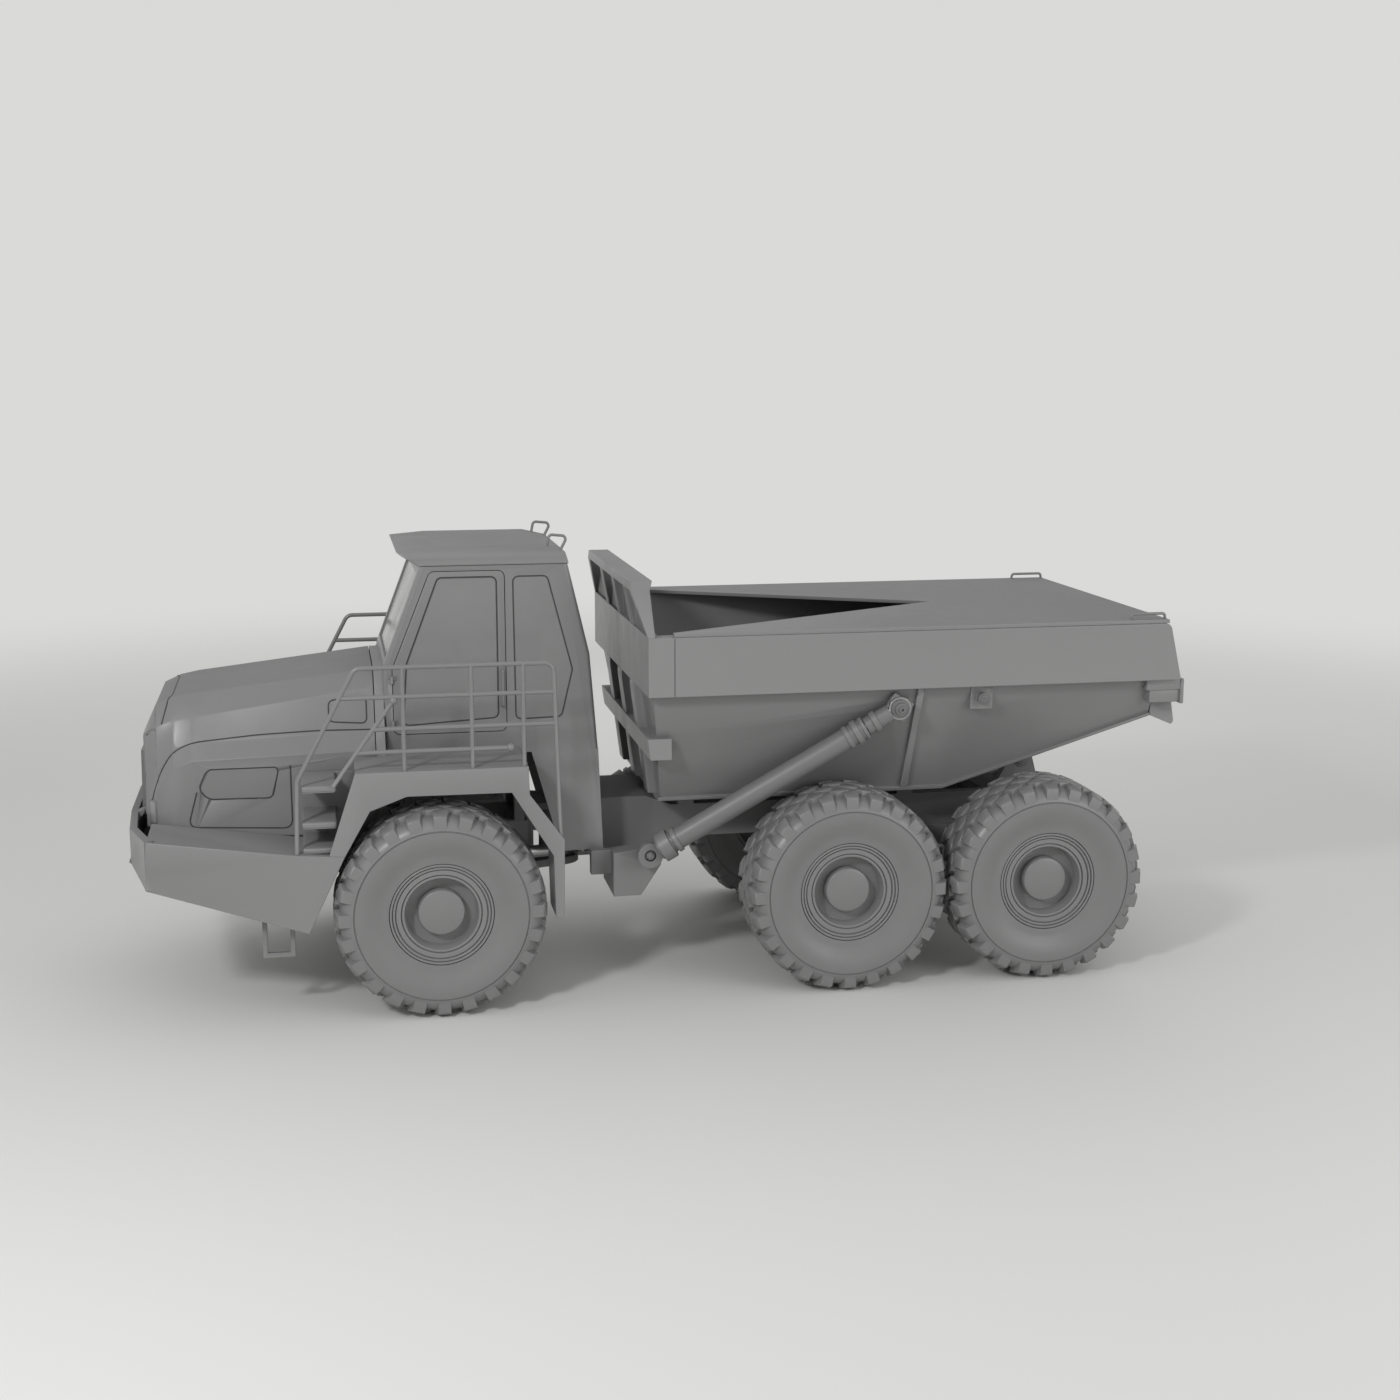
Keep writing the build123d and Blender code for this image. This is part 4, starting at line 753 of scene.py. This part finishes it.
# shade strips along each side's seams: (x, z) corners, bend of the corners, whether the seam closes
side_shade_strips = (
    (
        (
            (2.50, 2.300),
            (2.94, 2.306),
            (3.45, 2.288),
            (3.99, 2.243),
            (4.145, 2.172),
            (4.245, 2.020),
            (4.330, 1.780),
            (4.345, 1.600),
            (4.300, 1.515),
            (4.180, 1.497),
            (3.60, 1.452),
            (2.52, 1.405),
        ),
        0.10,
        False,
    ),
    (((3.87, 2.030), (3.285, 2.030), (3.345, 1.768), (3.87, 1.776), (3.945, 1.870)), 0.05, True),
    (((2.86, 2.372), (2.545, 2.352), (2.545, 2.575), (2.86, 2.545)), 0.05, True),
    (((3.19, 2.040), (3.19, 1.500), (4.04, 1.545), (3.960, 1.840)), 0.08, False),
)
routes = []
for side in (1, -1):
    sight = Vector((0, -side, 0))
    for corners, bend, closed in side_shade_strips:
        route = rounded([(x, 0.0, z) for x, z in corners], bend, closed)
        routes.append((laid(route, hood_surface, sight, closed), closed))
# nose seam across the top: (x, y) corners seen from above
nose_corners = ((4.235, 0.712, 0), (4.150, 0.52, 0), (4.150, -0.52, 0), (4.235, -0.712, 0))
nose_route = rounded(nose_corners, 0.2, False)
routes.append((laid(nose_route, hood_surface, Vector((0, 0, -1)), False), False))
# the strips are dark seal rubber, painted shade in the crease under the overhang and in the gaps
round_strips("hood_shade_strips", routes, 0.006, "hood", "trim", seal_rubber_and_painted_shade)
print("hood seams", [len(points) for points, closed in routes])


# %% [markdown]
# ## Cowl
#
# Between the lifting hood and the cab a fixed cowl closes the gap, so that the hood seems to run
# on up to the cab. It has the hood's own section: the hood is cut by a plane near its rear edge,
# the cut is filled, and that face is pulled back to the cab.

# %% Cowl between hood and cab
hood_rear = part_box("hood")[0].x
cab_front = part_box("cab_shell")[1].x
# the hood is cut this far in from its rear edge, and the cowl leaves this gap behind it
cut_inset = 0.004
hood_gap = 0.006
# the cowl ends this deep inside the cab's front wall, which carries it
cowl_seat = 0.003
cowl = merged_copy("hood")
bmesh.ops.bisect_plane(
    cowl,
    geom=list(cowl.verts) + list(cowl.edges) + list(cowl.faces),
    plane_co=(hood_rear + cut_inset, 0, 0),
    plane_no=(1, 0, 0),
    clear_inner=True,
    clear_outer=True,
)
bmesh.ops.remove_doubles(cowl, verts=cowl.verts, dist=MM)
bmesh.ops.edgenet_fill(cowl, edges=list(cowl.edges))
cowl_front = hood_rear - hood_gap
cowl_rear = cab_front - cowl_seat
for vert in cowl.verts:
    vert.co.x = cowl_front
pulled = bmesh.ops.extrude_face_region(cowl, geom=list(cowl.faces))
rear_verts = [item for item in pulled["geom"] if isinstance(item, bmesh.types.BMVert)]
bmesh.ops.translate(cowl, verts=rear_verts, vec=(cowl_rear - cowl_front, 0, 0))
bmesh.ops.recalc_face_normals(cowl, faces=cowl.faces)
print("cowl faces", len(cowl.faces), "closed", all(edge.is_manifold for edge in cowl.edges))
mesh_piece("hood_cowl", cowl, "front", "paint", panel_enamel)


# %% [markdown]
# ## Lamps
#
# Each headlamp is an upright lens in the hood's front corner, and two flat lamps stand on each
# half of the bumper's front plate. A lens is a rounded block: a cube scaled to size, its edges
# bevelled until it reads as one moulded cover, then turned to the surface that it sits in.

# %% Headlamps and bumper lamps
def rounded_block(size, edge, segments=3):
    """A block of a size round the origin, with round edges."""
    form = bmesh.new()
    bmesh.ops.create_cube(form, size=1.0)
    bmesh.ops.scale(form, vec=size, verts=form.verts)
    bmesh.ops.bevel(
        form,
        geom=list(form.edges),
        offset=edge,
        offset_type="OFFSET",
        segments=segments,
        profile=0.5,
        affect="EDGES",
        material=-1,
    )
    return form


def put(form, place, turn=None):
    """Turn a form round the origin, then move it to its place."""
    matrix = Matrix.Translation(place) @ (turn or Matrix.Identity(4))
    bmesh.ops.transform(form, matrix=matrix, verts=form.verts)
    return form


# bumper's front plate: x where it starts to draw back, y there, run for each unit back, turn
plate_x, plate_inner, plate_run, plate_turn = 4.538, 0.45, 16, 0.0624
# bumper lamps: number and y range
bumper_lamps = ((1, 0.64, 0.79), (2, 0.85, 1.04))
for side_name, side in wheel_sides:
    sight = Vector((-0.45, -0.9 * side, 0.0)).normalized()
    middle = Vector((4.318, 0.0, 1.655))
    start = middle + Vector((0, side * 0.80, 0)) - 2.0 * sight
    place, normal = hood_surface.ray_cast(start, sight)[:2]
    turn = normal.to_track_quat("X", "Z").to_matrix().to_4x4()
    lens = put(rounded_block((0.030, 0.078, 0.185), 0.014), place, turn)
    mesh_piece(f"headlamp_lens_{side_name}", lens, "hood", "glass", lamp_lens)
    bezel = put(rounded_block((0.018, 0.104, 0.215), 0.008), place, turn)
    mesh_piece(f"headlamp_bezel_{side_name}", bezel, "hood", "trim", moulded_trim)
    for number, y_low, y_high in bumper_lamps:
        y = side * (y_low + y_high) / 2
        x = plate_x - (abs(y) - plate_inner) / plate_run - 0.005
        turn = Matrix.Rotation(side * plate_turn, 4, "Z")
        lens = put(rounded_block((0.010, y_high - y_low - 0.03, 0.150), 0.004), (x, y, 1.457), turn)
        mesh_piece(f"bumper_lens_{number}_{side_name}", lens, "front", "glass", lamp_lens)
print("lamps", 6)


# %% [markdown]
# ## Radiator
#
# Behind the grille's bars stands the radiator: a block of thin fins, carried by the engine's front
# face. The fins are far finer than the render can show, so a wave pattern in its bump draws them a
# few times coarser.

# %% Radiator core
# the core starts this deep inside the engine's front face
core_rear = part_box("engine")[1].x - 0.005
core_front = 4.225
core_size = (core_front - core_rear, 0.74, 0.50)
core = put(rounded_block(core_size, 0.008), ((core_front + core_rear) / 2, 0.0, 1.85))
mesh_piece("radiator_core", core, "front", "trim", radiator_fins)
print("radiator", core_size)


# %% [markdown]
# ## Step treads
#
# The steps up to the deck are pressed from sheet with a fully rolled edge all round. A pad with
# round edges lies over each plate, and it is made from a cube, because a bevel of several segments
# gives it the same rolled edge on every side.

# %% Step pads
step_tops = (1.981, 1.681, 1.465)
for side_name, side in wheel_sides:
    form = bmesh.new()
    for top in step_tops:
        pad = rounded_block((0.282, 0.575, 0.052), 0.018, 4)
        joined(form, put(pad, (2.965, side * 1.271, top - 0.023)))
    mesh_piece(f"step_pads_{side_name}", form, "front", "paint", panel_enamel)
print("steps", len(step_tops) * 2)


# %% [markdown]
# ## Caps on the pins
#
# The pins that show end in a turned cap: a wide washer, a shoulder and a grease boss. One stepped
# profile, spun round the pin's axis, serves them all at different sizes. Each hoist rod also gets a
# stepped socket round its end and a square block behind its eye.

# %% Turned pin caps
# a hoist cylinder's two pins on the left side
hoist_eye = Vector((-1.935, 1.5, 2.445))
hoist_foot = Vector((0.182, 1.2, 1.174))
cap_steps = 40


def pin_cap(name, body, place, axis, radius, depth):
    """A stepped, turned cap that stands out of a surface along an axis."""
    profile = [
        (-0.01, 0.0),
        (-0.01, radius),
        (0.18 * depth, radius),
        (0.30 * depth, 0.93 * radius),
        (0.32 * depth, 0.70 * radius),
        (0.70 * depth, 0.66 * radius),
        (0.72 * depth, 0.38 * radius),
        (depth, 0.34 * radius),
        (depth, 0.16 * radius),
        (0.75 * depth, 0.14 * radius),
        (0.75 * depth, 0.0),
    ]
    form = bmesh.new()
    spin_ring(form, profile, steps=cap_steps)
    turn = Vector(axis).to_track_quat("Y", "Z").to_matrix().to_4x4()
    put(form, place, turn)
    piece = mesh_piece(name, form, body, "cast", casting_paint)
    return soft_edges(piece, 0.0025)


def rod_socket(side_name, side):
    """A stepped socket round the end of a hoist rod, and the square block behind its eye."""
    mirror = Vector((1, side, 1))
    eye = hoist_eye * mirror
    foot = hoist_foot * mirror
    along = (foot - eye).normalized()
    # socket profile: distance from the eye, radius
    profile = [
        (0.085, 0.030),
        (0.085, 0.078),
        (0.205, 0.080),
        (0.209, 0.096),
        (0.256, 0.096),
        (0.260, 0.080),
        (0.322, 0.080),
        (0.322, 0.030),
    ]
    form = bmesh.new()
    spin_ring(form, profile, steps=cap_steps)
    put(form, eye, along.to_track_quat("Y", "Z").to_matrix().to_4x4())
    body = f"hoist_rod_{side_name}"
    name = f"hoist_rod_socket_{side_name}"
    soft_edges(mesh_piece(name, form, body, "frame_paint", chassis_enamel), 0.003)
    block = rounded_block((0.205, 0.055, 0.190), 0.010)
    put(block, eye - Vector((0, side * 0.012, 0)), Matrix.Rotation(-0.54, 4, "Y"))
    mesh_piece(f"hoist_clevis_{side_name}", block, body, "frame_paint", chassis_enamel)


for side_name, side in wheel_sides:
    rod_socket(side_name, side)
    # caps on each side: name, body, place on the left, radius, depth
    for cap, body, (x, y, z), radius, depth in (
        ("hoist_head_cap", f"hoist_rod_{side_name}", (-1.935, 1.545, 2.445), 0.082, 0.075),
        ("spare_pin_cap", "dump_body", (-2.690, 1.528, 2.500), 0.052, 0.030),
        ("bed_pin_cap", "rear", (-3.450, 0.448, 1.720), 0.085, 0.040),
    ):
        pin_cap(f"{cap}_{side_name}", body, (x, side * y, z), (0, side, 0), radius, depth)
pin_cap("hitch_top_cap", "front", (0.850, 0.0, 1.450), (0, 0, 1), 0.115, 0.050)
print("pin caps", 7)


# %% [markdown]
# ## Trim on the dump body
#
# A joint runs down each side rail where its front cap was welded on, and a thin dark rubber strip
# lies in it as painted shade in the joint's groove. Two weld beads run up the side wall beside its
# rib. They are round lines again, laid on the body's own surface.

# %% Painted shade in the rail joints, and welds of the dump body
rail_surface = surface_of(plates["body_rails"])
body_surface = surface_of(plates["body_shell"])
cap_shade_routes = []
weld_routes = []
for side in (1, -1):
    sight = Vector((0, -side, 0))
    joint = [Vector((0.028, 0, 3.110)), Vector((0.028, 0, 2.624))]
    cap_shade_routes.append((laid(joint, rail_surface, sight, False), False))
    for x in (-2.16, -2.11):
        weld = [Vector((x, 0, 1.66)), Vector((x, 0, 2.58))]
        weld_routes.append((laid(weld, body_surface, sight, False), False))
# the joints are thin dark rubber strips, painted shade in the groove where the cap was welded on
round_strips("rail_joint_shade", cap_shade_routes, 0.003, "dump_body", "trim", seal_rubber_and_painted_shade)
round_strips("rib_welds", weld_routes, 0.006, "dump_body", "paint", panel_enamel)
print("body trim", len(cap_shade_routes) + len(weld_routes))


# %% [markdown]
# ## Tail corners
#
# At each tail corner two stacked boxes and an upright end plate stiffen the body where its load
# slides out. They are rounded blocks that share one inner line, so they read as one weldment.

# %% Tail boxes and end plates
tail_wide = 0.22
for side_name, side in wheel_sides:
    form = bmesh.new()
    # tail blocks: x range, half width, z range
    for x_low, x_high, half, z_low, z_high in (
        (-4.516, -4.190, 1.512, 2.515, 2.612),
        (-4.510, -4.225, 1.496, 2.405, 2.520),
        (-4.536, -4.504, 1.522, 2.392, 2.614),
    ):
        middle = ((x_low + x_high) / 2, side * (half - tail_wide / 2), (z_low + z_high) / 2)
        tail_block = rounded_block((x_high - x_low, tail_wide, z_high - z_low), 0.009)
        joined(form, put(tail_block, middle))
    mesh_piece(f"tail_boxes_{side_name}", form, "dump_body", "paint", panel_enamel)
print("tail boxes", 6)


# %% [markdown]
# ## Studio
#
# The truck stands on a plain pale floor under broad soft lamps, so each colour renders about as
# it is written. Far from the truck the floor takes the tone of the air behind it, so no horizon
# shows. The world is pale to the camera and to reflections alone, through the Light Path node.

# %% Floor
backdrop = "#e9e9e8"
air_glow = 0.86
floor_form = bmesh.new()
bmesh.ops.create_grid(floor_form, x_segments=1, y_segments=1, size=900.0)
floor_mesh = mesh_of("studio_floor", floor_form)
floor = linked("studio_floor", floor_mesh)
floor_paint, floor_tree, floor_shader, floor_place = start_material("pale studio floor")
floor_shader.inputs["Base Color"].default_value = colour("#dcdcda")
floor_shader.inputs["Roughness"].default_value = 0.8
away = add_node(floor_tree, "ShaderNodeVectorMath", {0: floor_place}, operation="LENGTH")
fade = ranged(floor_tree, away.outputs["Value"], 9.0, 26.0, interpolation_type="SMOOTHSTEP")
far_inputs = {"Color": colour(backdrop), "Strength": air_glow}
far_tone = add_node(floor_tree, "ShaderNodeEmission", far_inputs)
tones = {0: fade, 1: floor_shader.outputs["BSDF"], 2: far_tone.outputs["Emission"]}
either = add_node(floor_tree, "ShaderNodeMixShader", tones)
floor_end = floor_tree.nodes["Material Output"]
floor_tree.links.new(either.outputs["Shader"], floor_end.inputs["Surface"])
floor_mesh.materials.append(floor_paint)
print("floor", floor.name)

# %% World
world = bpy.data.worlds.new("studio air")
bpy.context.scene.world = world
world.use_nodes = True
air = world.node_tree
air.nodes.clear()
path = add_node(air, "ShaderNodeLightPath")
seen = add_node(
    air,
    "ShaderNodeMath",
    {0: path.outputs["Is Camera Ray"], 1: path.outputs["Is Glossy Ray"]},
    operation="MAXIMUM",
)
dim = add_node(air, "ShaderNodeBackground", {"Color": colour("#ffffff"), "Strength": 0.55})
pale = add_node(air, "ShaderNodeBackground", {"Color": colour(backdrop), "Strength": air_glow})
shares = {0: seen.outputs[0], 1: dim.outputs[0], 2: pale.outputs[0]}
blend = add_node(air, "ShaderNodeMixShader", shares)
add_node(air, "ShaderNodeOutputWorld", {"Surface": blend.outputs[0]})
print("world", [node.bl_idname for node in air.nodes])


# %% Lamps and camera
def soft_lamp(name, place, aim, size, power):
    """A square area lamp that looks at a point."""
    lamp = bpy.data.lights.new(name, "AREA")
    lamp.size = size
    lamp.energy = power
    holder = linked(name, lamp)
    holder.location = place
    holder.rotation_euler = (Vector(aim) - Vector(place)).to_track_quat("-Z", "Y").to_euler()


soft_lamp("key", (9.0, 12.0, 10.0), (0, 0, 1.5), 1.8, 960)
soft_lamp("fill", (-10.0, 12.0, 6.0), (0, 0, 1.5), 7.0, 420)
soft_lamp("back", (-4.0, -12.0, 9.0), (0, 0, 2.0), 12.0, 320)

camera_place = Vector((2.892, 17.227, 5.551))
camera_yaw = radians(11.12)
camera_pitch = radians(10.52)
level = cos(camera_pitch)
sight = Vector((-sin(camera_yaw) * level, -cos(camera_yaw) * level, -sin(camera_pitch)))
lens = bpy.data.cameras.new("studio camera")
lens.lens = 50.0
lens.sensor_width = 36.0
camera = linked("studio camera", lens)
camera.location = camera_place
camera.rotation_euler = sight.to_track_quat("-Z", "Y").to_euler()
bpy.context.scene.camera = camera
bpy.context.scene.view_settings.view_transform = "Standard"
print("camera", tuple(camera_place))
